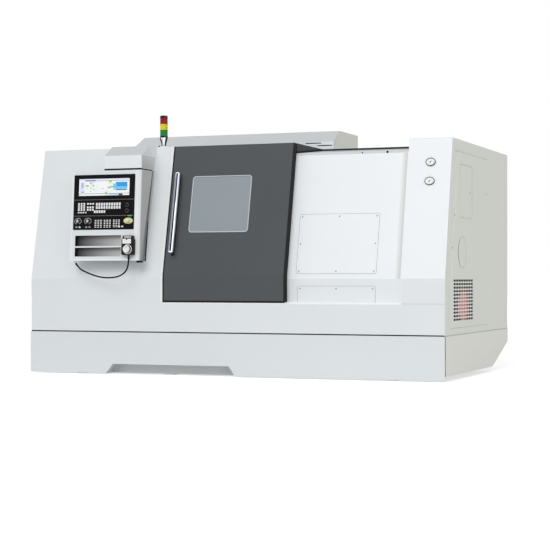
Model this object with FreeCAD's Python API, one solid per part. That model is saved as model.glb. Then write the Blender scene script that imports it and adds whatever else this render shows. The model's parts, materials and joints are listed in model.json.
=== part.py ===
"""Enclosed CNC turning lathe with a slanting bed, in millimetres.

X runs to the right along the spindle, Y from the front to the rear and Z up from the floor.
Y is counted from the front sheet while modelling, and the whole machine is centred on export.
"""

import FreeCAD
import Part
import itertools
import math
import os
from FreeCAD import Placement, Rotation, Vector

# Enclosure
LENGTH = 3920.0
DEPTH = 2328.0
ROOF = 2055.0
KINK = 860.0
SETBACK = 254.0
SHEET = 4.0
PENDANT_REACH = 175.0
HALF = LENGTH / 2
SERVICE_SHEET = 3.0
SHELL_HALF = HALF - SERVICE_SHEET
END_INNER = SHELL_HALF - SHEET
CENTRE_Y = (DEPTH - PENDANT_REACH) / 2

# Base
SEAM = 385.0
SEAM_GAP = 6.0
BASE_PROUD = 12.0
BASE_FLOOR_GAP = 10.0
FRAME_FRONT = 120.0
FRAME_REAR = 1640.0
FRAME_END_GAP = 77.0
FRAME_HALF = SHELL_HALF - FRAME_END_GAP
FRAME_BOTTOM = 32.0
FRAME_WALL = 30.0
FRAME_BAYS = 3
SKIRT_BOTTOM = 45.0
CHAMFER_FROM = 1692.0
CHAMFER_TOP = 254.0
NOTCH_BOTTOM = (-1189.0, 75.0)
NOTCH_TOP = (-1115.0, 16.0)
NOTCH_HEIGHT = 95.0
NOTCH_DEPTH = FRAME_FRONT + BASE_PROUD
PAD_HALF = 50.0
PAD_HEIGHT = 14.0
PAD_BOLT = 18.0
PAD_INSET = 400.0
PAD_CLEAR = 5.0

# Front openings
LEDGE = 650.0
LEDGE_DEPTH = 190.0
CABINET_RIGHT = -629.0
COLUMN_WIDTH = 381.0
COLUMN_LEFT = HALF - COLUMN_WIDTH
RETURN_DEPTH = 90.0
RECESS = 80.0
FIXED_LEFT = 400.0
FIXED_TOP = 1965.0
RAIL_Y = 1010.0
RAIL_WIDTH = 35.0
RAIL_LIP = 35.0
RAIL_LIP_TOP = 2034.0
RAIL_BOTTOM = 2000.0

# Door
DOOR_LEFT = CABINET_RIGHT + 1.0
DOOR_WIDTH = 1157.0
DOOR_BOTTOM = 658.0
DOOR_KINK = 890.0
DOOR_DEPTH = 75.0
DOOR_ROOF_REAR = 1005.0
SLIDE_GAP = 0.3
GUIDE_Y = 30.0
GUIDE_WIDTH = 14.0
WINDOW_X = (-406.0, 149.0)
WINDOW_Z = (1278.0, 1770.0)
WINDOW_RADIUS = 22.0
WINDOW_FRAME = 8.0
WINDOW_FRAME_PROUD = 3.0
PANE = 8.0
PANE_LAP = 16.0
HANDLE_X = -539.0
HANDLE_Z = (1075.0, 1802.0)
HANDLE_RADIUS = 22.0
HANDLE_ROUND = 8.0
HANDLE_REACH = 60.0
HANDLE_POST = 10.0
HANDLE_POST_INSET = 70.0

# Covers screwed to the fixed panel
COVER = 1.5
UPPER_COVER_X = (609.0, 1331.0)
UPPER_COVER_Z = (905.0, 1420.0)
LOWER_COVER_X = (625.0, 1326.0)
LOWER_COVER_Z = (655.0, 796.0)
COVER_RADIUS = 12.0

# Rear top cover
TOP_X = (-1451.0, 622.0)
TOP_FRONT = 1045.0
TOP_STRIP = 2130.0
TOP_SLOPE_REAR = 1209.0
TOP_HEIGHT = 2239.0
TOP_REAR = 1754.0
TOP_LEFT_SLANT = 60.0
TOP_SLOTS = ((345.0, 498.0, 2112.0), (459.0, 604.0, 2088.0))
TOP_SLOT_HEIGHT = 9.0

# End panels and rear
SERVICE_BOTTOM = 443.0
SERVICE_TOP = 1950.0
SERVICE_FRONT = 195.0
SERVICE_REAR = 1480.0
VENT_Y = (267.0, 947.0)
VENT_Z = (497.0, 860.0)
VENT_COLUMNS = 8
VENT_ROWS = 12
VENT_SLOT = (66.0, 17.0)
SMALL_COVER_Y = (488.0, 911.0)
SMALL_COVER_Z = (1390.0, 1845.0)
ROUND_COVER_AT = (562.0, 1088.0)
ROUND_COVER_RADIUS = 135.0
RELIEF = 1.5
CABINET_DOORS_X = (-1700.0, -900.0, -100.0)
CABINET_DOORS_Z = (420.0, 1900.0)
LOUVRES = 10
LOUVRE_PITCH = 30.0
LOUVRE_LENGTH = 420.0

# Signal tower
TOWER_AT = (-755.0, 300.0)
TOWER_RADIUS = 33.0
TOWER_LENS = 55.0
TOWER_LENS_BOTTOM = 2157.0
TOWER_CAP = 22.0
TOWER_POLE = 11.0
TOWER_FOOT = 40.0
TOWER_FOOT_HEIGHT = 8.0
TOWER_CUP = 45.0
TOWER_CUP_FOOT = 18.0

# Pressure gauges on the column
GAUGE_INSET = 182.0
GAUGE_X = HALF - GAUGE_INSET
GAUGE_Z = (1848.0, 1685.0)
GAUGE_RADIUS = 40.0
GAUGE_PROUD = 14.0
GAUGE_RIM = 6.0
GAUGE_DIAL_DEPTH = 6.0
NEEDLE_LENGTH = 26.0
NEEDLE_TAIL = 8.0
NEEDLE_HALF = 2.0
NEEDLE_TURN = -135.0

# Arm box and operator pendant
ARM_X = (-1173.0, -804.0)
ARM_FRONT = -60.0
ARM_BOTTOM = 1840.0
ARM_RISE = 123.0
ARM_SHOULDER = ARM_BOTTOM + ARM_RISE
ARM_TOP_FRONT = 95.0
PENDANT_X = (-1493.0, -801.0)
PENDANT_Z = (1022.0, 1832.0)
PENDANT_FRONT = (-118.0, -64.0)
PENDANT_REAR = (-50.0, 166.0)
PENDANT_SHEET = 3.0
PIVOT_X = -871.0
PIVOT_Y = 20.0
PIVOT_RADIUS = 25.0
PIVOT_LENGTH = 36.0
PIVOT_BOSS = 42.0
RUNNING = 0.05
PANEL_X = (-1471.0, -862.0)
PANEL_Z = (279.0, 775.0)
PANEL_THICK = 4.0
SCREEN_X = (-1422.0, -913.0)
SCREEN_Z = (584.0, 740.0)
SCREEN_DEPTH = 2.0
GROOVE_Z = (402.0, 547.0)
GROOVE = 2.0
KEY_PROUD = 3.0
KEY_SHARE = 0.74
KEY_SPANS = (
    ((-1424.0, -1344.0), (450.0, 524.0)),
    ((-1424.0, -1344.0), (429.0, 443.0)),
    ((-1334.0, -1256.0), (450.0, 524.0)),
    ((-1244.0, -990.0), (465.0, 524.0)),
    ((-1262.0, -1142.0), (429.0, 457.0)),
    ((-1251.0, -1086.0), (297.0, 374.0)),
    ((-1067.0, -998.0), (297.0, 374.0)),
    ((-1440.0, -1300.0), (297.0, 311.0)),
)
KEY_COLUMNS = (3, 4, 4, 10, 5, 6, 3, 7)
KEY_ROWS = (4, 1, 4, 3, 2, 5, 5, 1)
CAP_AT = ((-936.0, 498.0), (-936.0, 447.0))
CAP_RADIUS = 17.0
CAP_PROUD = 8.0
DIAL_X = (-1422.0, -1322.0)
DIAL_Z = 358.0
DIAL_RADIUS = 27.0
DIAL_HEIGHT = 18.0
DIAL_GRIP = (9.0, 22.0)
DIAL_SHAFT = 6.0
ESTOP_AT = (-918.0, 356.0)
ESTOP_PLATE = 34.0
ESTOP_RADIUS = 20.0
ESTOP_CROWN = 17.0
ESTOP_PLATE_THICK = 2.0
ESTOP_STEM = 9.0
ESTOP_HEIGHT = 30.0
ESTOP_TRAVEL = 8.0
SHELF_X = (-1447.0, -985.0)
SHELVES_Z = ((132.0, 227.0), (38.0, 118.0))
SHELF_DEPTH = 44.0

# Handwheel unit and its cable
HAND_X = (-962.0, -841.0)
HAND_Z = (48.0, 220.0)
HAND_THICK = 42.0
HAND_NECK = 18.0
HAND_SHOULDER = 107.0
HAND_WHEEL_AT = (-906.0, 98.0)
HAND_WHEEL_RADIUS = 36.0
HAND_WHEEL_HEIGHT = 14.0
HAND_GRIP_RADIUS = 6.0
HAND_GRIP_AT = 22.0
HAND_GRIP_HEIGHT = 11.0
HAND_SHAFT = 7.0
CABLE_RADIUS = 6.0
GLAND_RADIUS = 9.0
GLAND_LENGTH = 12.0
CABLE_START = (-893.0, -139.0)
CABLE_TILT = (-0.6, 0.05, 0.8)
CABLE_END = (-1465.0, -86.0)
CABLE_GLAND_LENGTH = 28.0
CABLE_LAST_RUN = 62.0
CABLE_RATIO = 0.45

# Slanting bed
BED_ANGLE = 45.0
SPINDLE_Y = 560.0
SPINDLE_Z = 1080.0
SWING = 330.0
BED_END_GAP = 19.0
BED_X = (-1250.0, COLUMN_LEFT - BED_END_GAP)
BED_V = (-300.0, 520.0)
BED_REAR = 1480.0
BED_FRONT_DROP = 115.0
BED_TOE = 700.0
WAY_END_GAP = 20.0
WAY_X = (-560.0, BED_X[1] - WAY_END_GAP)
SADDLE_WAYS = (120.0, 420.0)
SADDLE_WAY_WIDTH = 70.0
SADDLE_WAY_HEIGHT = 50.0
TAIL_WAYS = (-230.0, -60.0)
TAIL_WAY_WIDTH = 60.0
TAIL_WAY_HEIGHT = 40.0
SCREW_V = 270.0
SCREW_W = 12.0
SCREW_RADIUS_Z = 20.0
SCREW_TROUGH = (60.0, 70.0)
SUPPORT_LENGTH = 45.0
SCREW_JOURNAL = 14.0
SERVO_BODY = 91.0
SERVO_LENGTH = 130.0
SERVO_END_GAP = 10.0
SCREW_X = (-585.0, WAY_X[1] - SERVO_END_GAP - SERVO_LENGTH)
SERVO_COVER = 54.0
SERVO_LIFT = 5.0
RIB_POCKETS = 4

# Headstock, spindle and chuck
HEAD_X = (-1250.0, -700.0)
HEAD_HALF = 190.0
HEAD_FOOT = 230.0
HEAD_FOOT_HEIGHT = 44.0
SPINDLE_RADIUS = 85.0
SPINDLE_BORE = 38.0
SPINDLE_X = (-1345.0, -640.0)
NOSE_RADIUS = 120.0
NOSE_LENGTH = 45.0
PULLEY_X = (-1330.0, -1262.0)
PULLEY_RADIUS = 150.0
PULLEY_RIM = 6.0
PULLEY_FLANGE = 15.0
CHUCK_X = (-640.0, -500.0)
CHUCK_RADIUS = 160.0
JAW_TONGUE = 15.0
JAW_SLOT = 20.0
JAW_WIDTH = 42.0
JAW_LENGTH = 60.0
JAW_REACH = (48.0, 150.0)
JAW_STEP = 95.0
JAWS = 3

# Spindle motor and belt
MOTOR_Y = 640.0
MOTOR_Z = 560.0
MOTOR_HALF = 130.0
MOTOR_X = (-1800.0, -1380.0)
MOTOR_FOOT = 40.0
MOTOR_BELL = 30.0
MOTOR_STEP = 12.0
MOTOR_CORNER = 35.0
TERMINAL_BOX = (120.0, 70.0, 60.0)
MOTOR_PULLEY_RADIUS = 90.0
MOTOR_SHAFT = 28.0
BELT = 10.0
BELT_GAP = 0.3

# Carriage, cross slide and turret
SADDLE_X = (302.0, 660.0)
SADDLE_V = (60.0, 600.0)
SADDLE_TOP = 150.0
LIP_DROP = 40.0
LIP = 25.0
NUT_DEPTH = 30.0
BRACKET_WIDTH = 130.0
CROSS_SERVO = 110.0
CROSS_SERVO_LENGTH = 104.0
CROSS_V = (220.0, 600.0)
CROSS_TOP = 250.0
CROSS_WAYS = (352.0, 610.0)
CROSS_WAY_WIDTH = 60.0
CROSS_WAY_HEIGHT = 40.0
CROSS_HOOK = 32.0
TURRET_V = 460.0
TURRET_X = (300.0, 440.0)
TURRET_HALF = 120.0
TURRET_CAP = 130.0
TURRET_CAP_RADIUS = 74.0
DISC_X = (160.0, TURRET_X[0] - SLIDE_GAP)
DISC_RADIUS = 195.0
STATIONS = 12
HUB_RADIUS = 50.0
HUB_LENGTH = 60.0
DISC_BOSS = 75.0
HOLDER = (56.0, 34.0, 70.0)
TOOL = (20.0, 46.0, 20.0)

# Tailstock
TAIL_X = (850.0, 1150.0)
TAIL_V = (-265.0, -25.0)
TAIL_BARREL = 105.0
TAIL_BASE = 50.0
TAIL_HOOK = 28.0
TAIL_WEB = 95.0
QUILL_RADIUS = 45.0
QUILL_X = (800.0, 1100.0)
CENTRE_SHANK = 18.0
CENTRE_HEAD = 30.0
CENTRE_X = (720.0, 860.0)
CENTRE_TIP = 1.0

# Chamber walls, tray and hydraulic unit
WALL_HOLE = 176.0
WALL_END_GAP = 13.0
WALL_X = (-644.0, COLUMN_LEFT - WALL_END_GAP)
WALL_FRONT = 95.0
BACK_WALL = 1440.0
TRAY_FRONT = 186.0
TRAY_FLOOR = (430.0, 405.0)
TRAY_REAR_TOP = 600.0
TANK_END_GAP = 83.0
TANK_LENGTH = 270.0
TANK_X = (END_INNER - TANK_END_GAP - TANK_LENGTH, END_INNER - TANK_END_GAP)
TANK_Y = (400.0, 860.0)
FAN_Y = (481.0, 781.0)
FAN_Z = (500.0, 740.0)
FAN_CORNER = 70.0
FAN_DEPTH = 21.0
FAN_GAP = 2.0
FAN_HUB = 60.0
TANK_HEIGHT = 230.0
TANK_MOTOR = 95.0
TANK_CORE = 80.0
TANK_MOTOR_HEIGHT = 210.0
TANK_CAP = 12.0
TANK_FINS = 6
FIN = 4.0
FILLER_RADIUS = 32.0
FILLER_HEIGHT = 50.0


# ---- helpers -------------------------------------------------------------------------------


def front_y(z):
    """How far back the front sheet's outer face is at height z."""
    return max(0.0, (z - KINK) * SETBACK / (ROOF - KINK))


def door_y(z):
    """How far back the door's outer face is at height z."""
    return max(0.0, (z - DOOR_KINK) * SETBACK / (ROOF - DOOR_KINK))


def block(x, y, z):
    """A box between the two ends given for each axis."""
    return Part.makeBox(x[1] - x[0], y[1] - y[0], z[1] - z[0], Vector(x[0], y[0], z[0]))


def prism_x(outline, x):
    """The (y, z) outline carried along X."""
    points = [Vector(x[0], y, z) for y, z in outline]
    face = Part.Face(Part.makePolygon(points + points[:1]))
    return face.extrude(Vector(x[1] - x[0], 0, 0))


def prism_y(outline, y):
    """The (x, z) outline carried along Y."""
    points = [Vector(x, y[0], z) for x, z in outline]
    face = Part.Face(Part.makePolygon(points + points[:1]))
    return face.extrude(Vector(0, y[1] - y[0], 0))


def rod(radius, start, end):
    """A round bar between two points."""
    way = Vector(*end) - Vector(*start)
    return Part.makeCylinder(radius, way.Length, Vector(*start), way)


def hexagon(radius, at, z):
    """An upright six-sided bar."""
    points = []
    for i in range(7):
        angle = math.radians(60 * i)
        points.append(Vector(at[0] + radius * math.cos(angle), at[1] + radius * math.sin(angle), z[0]))
    return Part.Face(Part.makePolygon(points)).extrude(Vector(0, 0, z[1] - z[0]))


def folded(outline, x):
    """A sheet whose outer face follows the (y, z) outline, with its thickness on the right."""
    normals = []
    for (y0, z0), (y1, z1) in zip(outline, outline[1:]):
        length = math.hypot(y1 - y0, z1 - z0)
        normals.append(((z1 - z0) / length, (y0 - y1) / length))
    inner = []
    for i, (y, z) in enumerate(outline):
        before = normals[max(i - 1, 0)]
        after = normals[min(i, len(normals) - 1)]
        share = SHEET / (1 + before[0] * after[0] + before[1] * after[1])
        inner.append((y + share * (before[0] + after[0]), z + share * (before[1] + after[1])))
    return prism_x(outline + inner[::-1], x)


def plate(x, z, y, radius):
    """A plate in the XZ plane with rounded corners, carried along Y."""
    x0, x1 = x
    z0, z1 = z
    diagonal = radius * (1 - math.sqrt(0.5))
    near = y[0]
    edges = [
        Part.makeLine(Vector(x0 + radius, near, z0), Vector(x1 - radius, near, z0)),
        Part.Arc(
            Vector(x1 - radius, near, z0), Vector(x1 - diagonal, near, z0 + diagonal),
            Vector(x1, near, z0 + radius)).toShape(),
        Part.makeLine(Vector(x1, near, z0 + radius), Vector(x1, near, z1 - radius)),
        Part.Arc(
            Vector(x1, near, z1 - radius), Vector(x1 - diagonal, near, z1 - diagonal),
            Vector(x1 - radius, near, z1)).toShape(),
        Part.makeLine(Vector(x1 - radius, near, z1), Vector(x0 + radius, near, z1)),
        Part.Arc(
            Vector(x0 + radius, near, z1), Vector(x0 + diagonal, near, z1 - diagonal),
            Vector(x0, near, z1 - radius)).toShape(),
        Part.makeLine(Vector(x0, near, z1 - radius), Vector(x0, near, z0 + radius)),
        Part.Arc(
            Vector(x0, near, z0 + radius), Vector(x0 + diagonal, near, z0 + diagonal),
            Vector(x0 + radius, near, z0)).toShape(),
    ]
    return Part.Face(Part.Wire(edges)).extrude(Vector(0, y[1] - near, 0))


def placed(shape, at, degrees):
    """The shape turned about X and moved to a point."""
    moved = shape.copy()
    moved.Placement = Placement(Vector(*at), Rotation(Vector(1, 0, 0), degrees))
    return moved


def on_front(shape, recess=0.0):
    """Places a shape drawn on an upright face onto the slanting front, heights from the kink."""
    return placed(shape, (0, recess, KINK), -math.degrees(math.atan2(SETBACK, ROOF - KINK)))


def on_door(shape):
    """The same for the door, whose slant starts a little higher."""
    return placed(shape, (0, 0, DOOR_KINK), -math.degrees(math.atan2(SETBACK, ROOF - DOOR_KINK)))


def on_pendant(shape):
    """The same for the pendant's leaning front, heights from its lower edge."""
    rise = PENDANT_Z[1] - PENDANT_Z[0]
    lean = math.degrees(math.atan2(PENDANT_FRONT[1] - PENDANT_FRONT[0], rise))
    return placed(shape, (0, PENDANT_FRONT[0], PENDANT_Z[0]), -lean)


def pendant_point(x, y, z):
    """A point drawn on the pendant's front, where it ends up."""
    spot = on_pendant(Part.Vertex(x, y, z)).Vertexes[0].Point
    return (spot.x, spot.y, spot.z)


def slope(z, kink, roof_setback):
    """The length along a slanting front from its kink to height z."""
    return (z - kink) * math.hypot(ROOF - kink, roof_setback) / (ROOF - kink)


def on_bed(shape):
    """Places a shape drawn flat, with the bed's face as its floor, onto the slanting bed."""
    reach = SWING * math.sin(math.radians(BED_ANGLE))
    drop = SWING * math.cos(math.radians(BED_ANGLE))
    return placed(shape, (0, SPINDLE_Y + reach, SPINDLE_Z - drop), BED_ANGLE)


def bed_point(v, w):
    """The (y, z) place of a point v up the bed's slope and w above its face."""
    spot = on_bed(Part.Vertex(0, v, w)).Vertexes[0].Point
    return (spot.y, spot.z)


def between(x, y, z, radius):
    """A round bar along X at the (y, z) place."""
    return rod(radius, (x[0], y, z), (x[1], y, z))


def save(name, *solids):
    """Writes one node, centred front to rear on the origin."""
    shape = solids[0] if len(solids) == 1 else Part.makeCompound(list(solids))
    moved = shape.copy()
    moved.translate(Vector(0, -CENTRE_Y, 0))
    moved.exportStep("parts/" + name + ".step")


# ---- base ----------------------------------------------------------------------------------


def base_frame():
    """Welded base, open below, with cross walls over the levelling feet."""
    frame = block((-FRAME_HALF, FRAME_HALF), (FRAME_FRONT, FRAME_REAR), (FRAME_BOTTOM, SEAM))
    pitch = (2 * FRAME_HALF - FRAME_WALL) / FRAME_BAYS
    middle = (FRAME_FRONT + FRAME_REAR) / 2
    for i in range(FRAME_BAYS):
        x = -FRAME_HALF + FRAME_WALL + i * pitch
        for y in ((FRAME_FRONT + FRAME_WALL, middle), (middle + FRAME_WALL, FRAME_REAR - FRAME_WALL)):
            bay = block((x, x + pitch - FRAME_WALL), y, (FRAME_BOTTOM, SEAM - FRAME_WALL))
            frame = frame.cut(bay)
    return frame


def levelling_feet():
    """Square plates with hexagonal jacking bolts under the long walls and the inner cross walls."""
    pitch = (2 * FRAME_HALF - FRAME_WALL) / FRAME_BAYS
    inner = FRAME_HALF - FRAME_WALL / 2 - pitch
    outer = FRAME_HALF - PAD_INSET
    feet = []
    for x, inset in ((outer, FRAME_WALL / 2), (inner, PAD_HALF + PAD_CLEAR)):
        for x, y in itertools.product((-x, x), (FRAME_FRONT + inset, FRAME_REAR - inset)):
            pad = block((x - PAD_HALF, x + PAD_HALF), (y - PAD_HALF, y + PAD_HALF), (0, PAD_HEIGHT))
            feet.append(pad.fuse(hexagon(PAD_BOLT, (x, y), (PAD_HEIGHT, FRAME_BOTTOM))))
    return feet


def notch(grow, y):
    """The fork notch's tapering outline, grown on its sides and top."""
    outline = [
        (NOTCH_BOTTOM[0] - grow, BASE_FLOOR_GAP - 1),
        (NOTCH_TOP[0] - grow, NOTCH_HEIGHT + grow),
        (NOTCH_TOP[1] + grow, NOTCH_HEIGHT + grow),
        (NOTCH_BOTTOM[1] + grow, BASE_FLOOR_GAP - 1),
    ]
    return prism_y(outline, y)


def base_front_panel():
    """Plinth sheet with a top flange back to the base and a pocket behind the fork notch."""
    top = SEAM - SEAM_GAP
    face = block((-HALF, HALF), (-BASE_PROUD, SHEET - BASE_PROUD), (BASE_FLOOR_GAP, top))
    flange = block((SHEET - HALF, HALF - SHEET), (-BASE_PROUD, FRAME_FRONT), (top - SHEET, top))
    pocket = notch(SHEET, (-BASE_PROUD, NOTCH_DEPTH - BASE_PROUD))
    below = block((-HALF, HALF), (-BASE_PROUD, FRAME_FRONT), (0, BASE_FLOOR_GAP))
    hole = notch(0, (-2 * BASE_PROUD, FRAME_FRONT - SHEET))
    return face.fuse(flange).fuse(pocket).cut(hole).cut(below).removeSplitter()


def end_skirt(side):
    """Plinth sheet under one end panel, chamfered up at the rear."""
    top = SEAM - SEAM_GAP
    outline = [
        (SHEET - BASE_PROUD, SKIRT_BOTTOM), (CHAMFER_FROM, SKIRT_BOTTOM), (DEPTH, CHAMFER_TOP),
        (DEPTH, top), (SHEET - BASE_PROUD, top),
    ]
    outer = side * HALF
    inner = side * (HALF - SHEET)
    sheet = prism_x(outline, (min(outer, inner), max(outer, inner)))
    rim = side * FRAME_HALF
    flange = block((min(rim, outer), max(rim, outer)), (FRAME_FRONT, FRAME_REAR), (top - SHEET, top))
    return sheet.fuse(flange).removeSplitter()


def make_base():
    save("base_frame", base_frame())
    save("levelling_feet", *levelling_feet())
    save("base_front_panel", base_front_panel())
    save("end_skirts", end_skirt(-1), end_skirt(1))


# ---- enclosure -----------------------------------------------------------------------------


def side_return(x, depth, bottom):
    """A strip folded back from the edge of a front sheet."""
    top = ROOF - SHEET
    outline = [
        (0, bottom), (0, KINK), (front_y(top), top),
        (front_y(top) + depth, top), (depth, KINK), (depth, bottom),
    ]
    return prism_x(outline, x)


def front_panel():
    """Left cabinet face and the low apron in one sheet, with the ledge under the door."""
    top = ROOF - SHEET
    outline = [(LEDGE_DEPTH, SEAM), (0, SEAM), (0, KINK), (front_y(top), top)]
    sheet = folded(outline, (-SHELL_HALF, SHELL_HALF))
    opening = block((CABINET_RIGHT, HALF), (-SETBACK, 2 * SETBACK), (LEDGE, ROOF))
    ledge = block((CABINET_RIGHT - SHEET, END_INNER), (0, LEDGE_DEPTH), (LEDGE - SHEET, LEDGE))
    jamb = side_return((CABINET_RIGHT - SHEET, CABINET_RIGHT), RETURN_DEPTH, LEDGE)
    return sheet.cut(opening).fuse(ledge).fuse(jamb).removeSplitter()


def right_column():
    """Upright face at the right of the door opening."""
    top = ROOF - SHEET
    outline = [(0, LEDGE), (0, KINK), (front_y(top), top)]
    sheet = folded(outline, (COLUMN_LEFT, SHELL_HALF))
    jamb = side_return((COLUMN_LEFT, COLUMN_LEFT + SHEET), RETURN_DEPTH + SHEET, LEDGE)
    return sheet.fuse(jamb).removeSplitter()


def fixed_panel():
    """Set-back front sheet beside the door, folded over into a roof up to the door rail."""
    outline = [
        (RECESS, LEDGE), (RECESS, KINK), (front_y(FIXED_TOP) + RECESS, FIXED_TOP),
        (RAIL_Y - RAIL_LIP - 2 * SLIDE_GAP, RAIL_LIP_TOP),
    ]
    return folded(outline, (FIXED_LEFT, COLUMN_LEFT))


def inspection_covers():
    """The large cover on the slant and the low one on the upright part below it."""
    tall = tuple(slope(z, KINK, SETBACK) for z in UPPER_COVER_Z)
    upper = on_front(plate(UPPER_COVER_X, tall, (-COVER, 0), COVER_RADIUS), RECESS)
    lower = plate(LOWER_COVER_X, LOWER_COVER_Z, (RECESS - COVER, RECESS), COVER_RADIUS)
    return upper, lower


def end_panel(side):
    """One end sheet inside the edges of the front, roof and rear sheets."""
    top = ROOF - SHEET
    front = SHEET + SLIDE_GAP
    outline = [
        (front, SEAM + SHEET), (front, KINK), (front_y(top) + front, top),
        (DEPTH - SHEET, top), (DEPTH - SHEET, SEAM), (LEDGE_DEPTH, SEAM), (LEDGE_DEPTH, SEAM + SHEET),
    ]
    outer = side * SHELL_HALF
    inner = side * END_INNER
    return prism_x(outline, (min(outer, inner), max(outer, inner)))


def service_panel():
    """Lift-off cover lapped onto the right end, with a vent grid and two smaller covers."""
    outline = [
        (SERVICE_FRONT, SERVICE_BOTTOM), (SERVICE_FRONT, KINK),
        (SERVICE_FRONT + front_y(SERVICE_TOP), SERVICE_TOP),
        (SERVICE_REAR, SERVICE_TOP), (SERVICE_REAR, SERVICE_BOTTOM),
    ]
    panel = prism_x(outline, (SHELL_HALF, HALF))
    trim = HALF - RELIEF
    for y, z in ((SMALL_COVER_Y, SMALL_COVER_Z),):
        outer = block((trim, HALF), y, z)
        inner = block(
            (trim, HALF), (y[0] + SHEET, y[1] - SHEET), (z[0] + SHEET, z[1] - SHEET))
        panel = panel.cut(outer.cut(inner))
    ring = between((trim, HALF), *ROUND_COVER_AT, ROUND_COVER_RADIUS)
    panel = panel.cut(ring.cut(between((trim, HALF), *ROUND_COVER_AT, ROUND_COVER_RADIUS - SHEET)))
    slots = []
    step_y = (VENT_Y[1] - VENT_Y[0]) / VENT_COLUMNS
    step_z = (VENT_Z[1] - VENT_Z[0]) / VENT_ROWS
    for column in range(VENT_COLUMNS):
        for row in range(VENT_ROWS):
            y = VENT_Y[0] + (column + 0.5) * step_y
            z = VENT_Z[0] + (row + 0.5) * step_z
            slots.append(block(
                (SHELL_HALF - 1, HALF + 1), (y - VENT_SLOT[0] / 2, y + VENT_SLOT[0] / 2),
                (z - VENT_SLOT[1] / 2, z + VENT_SLOT[1] / 2)))
    return panel.cut(Part.makeCompound(slots))


def right_end_panel():
    """The right end sheet with one window behind the vent grid."""
    window = block((END_INNER - 1, SHELL_HALF + 1), VENT_Y, VENT_Z)
    return end_panel(1).cut(window)


def rear_panel():
    """Rear sheet with the chamfer below it, cabinet door outlines and louvres."""
    outline = [
        (DEPTH, ROOF - SHEET), (DEPTH, CHAMFER_TOP), (CHAMFER_FROM, SKIRT_BOTTOM),
        (FRAME_REAR, SKIRT_BOTTOM), (FRAME_REAR, SEAM - SHEET),
    ]
    panel = folded(outline, (SHEET - HALF, HALF - SHEET))
    groove_depth = (DEPTH - RELIEF, DEPTH)
    for x in CABINET_DOORS_X:
        panel = panel.cut(block((x - SHEET / 2, x + SHEET / 2), groove_depth, CABINET_DOORS_Z))
    span = (CABINET_DOORS_X[0] - SHEET / 2, CABINET_DOORS_X[-1] + SHEET / 2)
    for z in CABINET_DOORS_Z:
        panel = panel.cut(block(span, groove_depth, (z - SHEET / 2, z + SHEET / 2)))
    slots = []
    for left, right in zip(CABINET_DOORS_X, CABINET_DOORS_X[1:]):
        middle = (left + right) / 2
        for i in range(LOUVRES):
            z = CABINET_DOORS_Z[1] - (i + 3) * LOUVRE_PITCH
            slots.append(block(
                (middle - LOUVRE_LENGTH / 2, middle + LOUVRE_LENGTH / 2),
                (DEPTH - 2 * SHEET, DEPTH + 1), (z, z + LOUVRE_PITCH / 3)))
    return panel.cut(Part.makeCompound(slots))


def roof_panel():
    """Roof sheet, notched at the front where the door's own roof runs."""
    front = front_y(ROOF)
    roof = block((-SHELL_HALF, SHELL_HALF), (front, DEPTH), (ROOF - SHEET, ROOF))
    gap = block((CABINET_RIGHT, COLUMN_LEFT), (front, RAIL_Y + RAIL_WIDTH), (ROOF - SHEET, ROOF))
    return roof.cut(gap)


def top_cover():
    """Raised rear cover with a slanting front and left end."""
    def shell(inset):
        outline = [
            (TOP_FRONT + inset, ROOF), (TOP_FRONT + inset, TOP_STRIP),
            (TOP_SLOPE_REAR, TOP_HEIGHT - inset), (TOP_REAR - inset, TOP_HEIGHT - inset),
            (TOP_REAR - inset, ROOF),
        ]
        body = prism_x(outline, (TOP_X[0] + inset, TOP_X[1] - inset))
        left = TOP_X[0] + inset
        wedge = [
            (left, ROOF), (left + TOP_LEFT_SLANT, TOP_HEIGHT), (left - TOP_LEFT_SLANT, TOP_HEIGHT),
            (left - TOP_LEFT_SLANT, ROOF),
        ]
        return body.cut(prism_y(wedge, (TOP_FRONT, TOP_REAR)))

    cover = shell(0).cut(shell(SHEET))
    for left, right, z in TOP_SLOTS:
        slot = block((left, right), (TOP_FRONT - 1, TOP_FRONT + SHEET + 1), (z, z + TOP_SLOT_HEIGHT))
        cover = cover.cut(slot)
    return cover


def door_rails():
    """Upper rail with a lip for the door's rollers, and the guide bar on the ledge."""
    rear = RAIL_Y + RAIL_WIDTH
    bar = block((CABINET_RIGHT, COLUMN_LEFT), (RAIL_Y, rear), (RAIL_BOTTOM, ROOF))
    lip = block(
        (CABINET_RIGHT, COLUMN_LEFT), (RAIL_Y - RAIL_LIP, RAIL_Y), (RAIL_LIP_TOP - SHEET, RAIL_LIP_TOP))
    guide = block(
        (CABINET_RIGHT, COLUMN_LEFT), (GUIDE_Y, GUIDE_Y + GUIDE_WIDTH), (LEDGE, DOOR_BOTTOM - SLIDE_GAP))
    return bar.fuse(lip).removeSplitter(), guide


def chamber_wall(x):
    """Upright sheet across the machine above the bed, closing one end of the chamber."""
    top = ROOF - SHEET
    low = bed_point(BED_V[0], 0)
    high = bed_point(BED_V[1], 0)
    start = low[0] + LEDGE - low[1]
    outline = [
        (WALL_FRONT, LEDGE), (start, LEDGE), high, (BACK_WALL, high[1]), (BACK_WALL, RAIL_BOTTOM),
        (RAIL_Y, RAIL_BOTTOM), (front_y(FIXED_TOP) + WALL_FRONT, FIXED_TOP - 3 * SHEET),
        (WALL_FRONT, KINK),
    ]
    wall = prism_x(outline, (x, x + SHEET))
    link = block((x, x + SHEET), (RAIL_Y, BACK_WALL), (RAIL_BOTTOM - SHEET, RAIL_BOTTOM))
    rise = block((x, x + SHEET), (RAIL_Y + RAIL_WIDTH, BACK_WALL), (RAIL_BOTTOM - SHEET, top))
    return wall.fuse(link).fuse(rise).removeSplitter()


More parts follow.
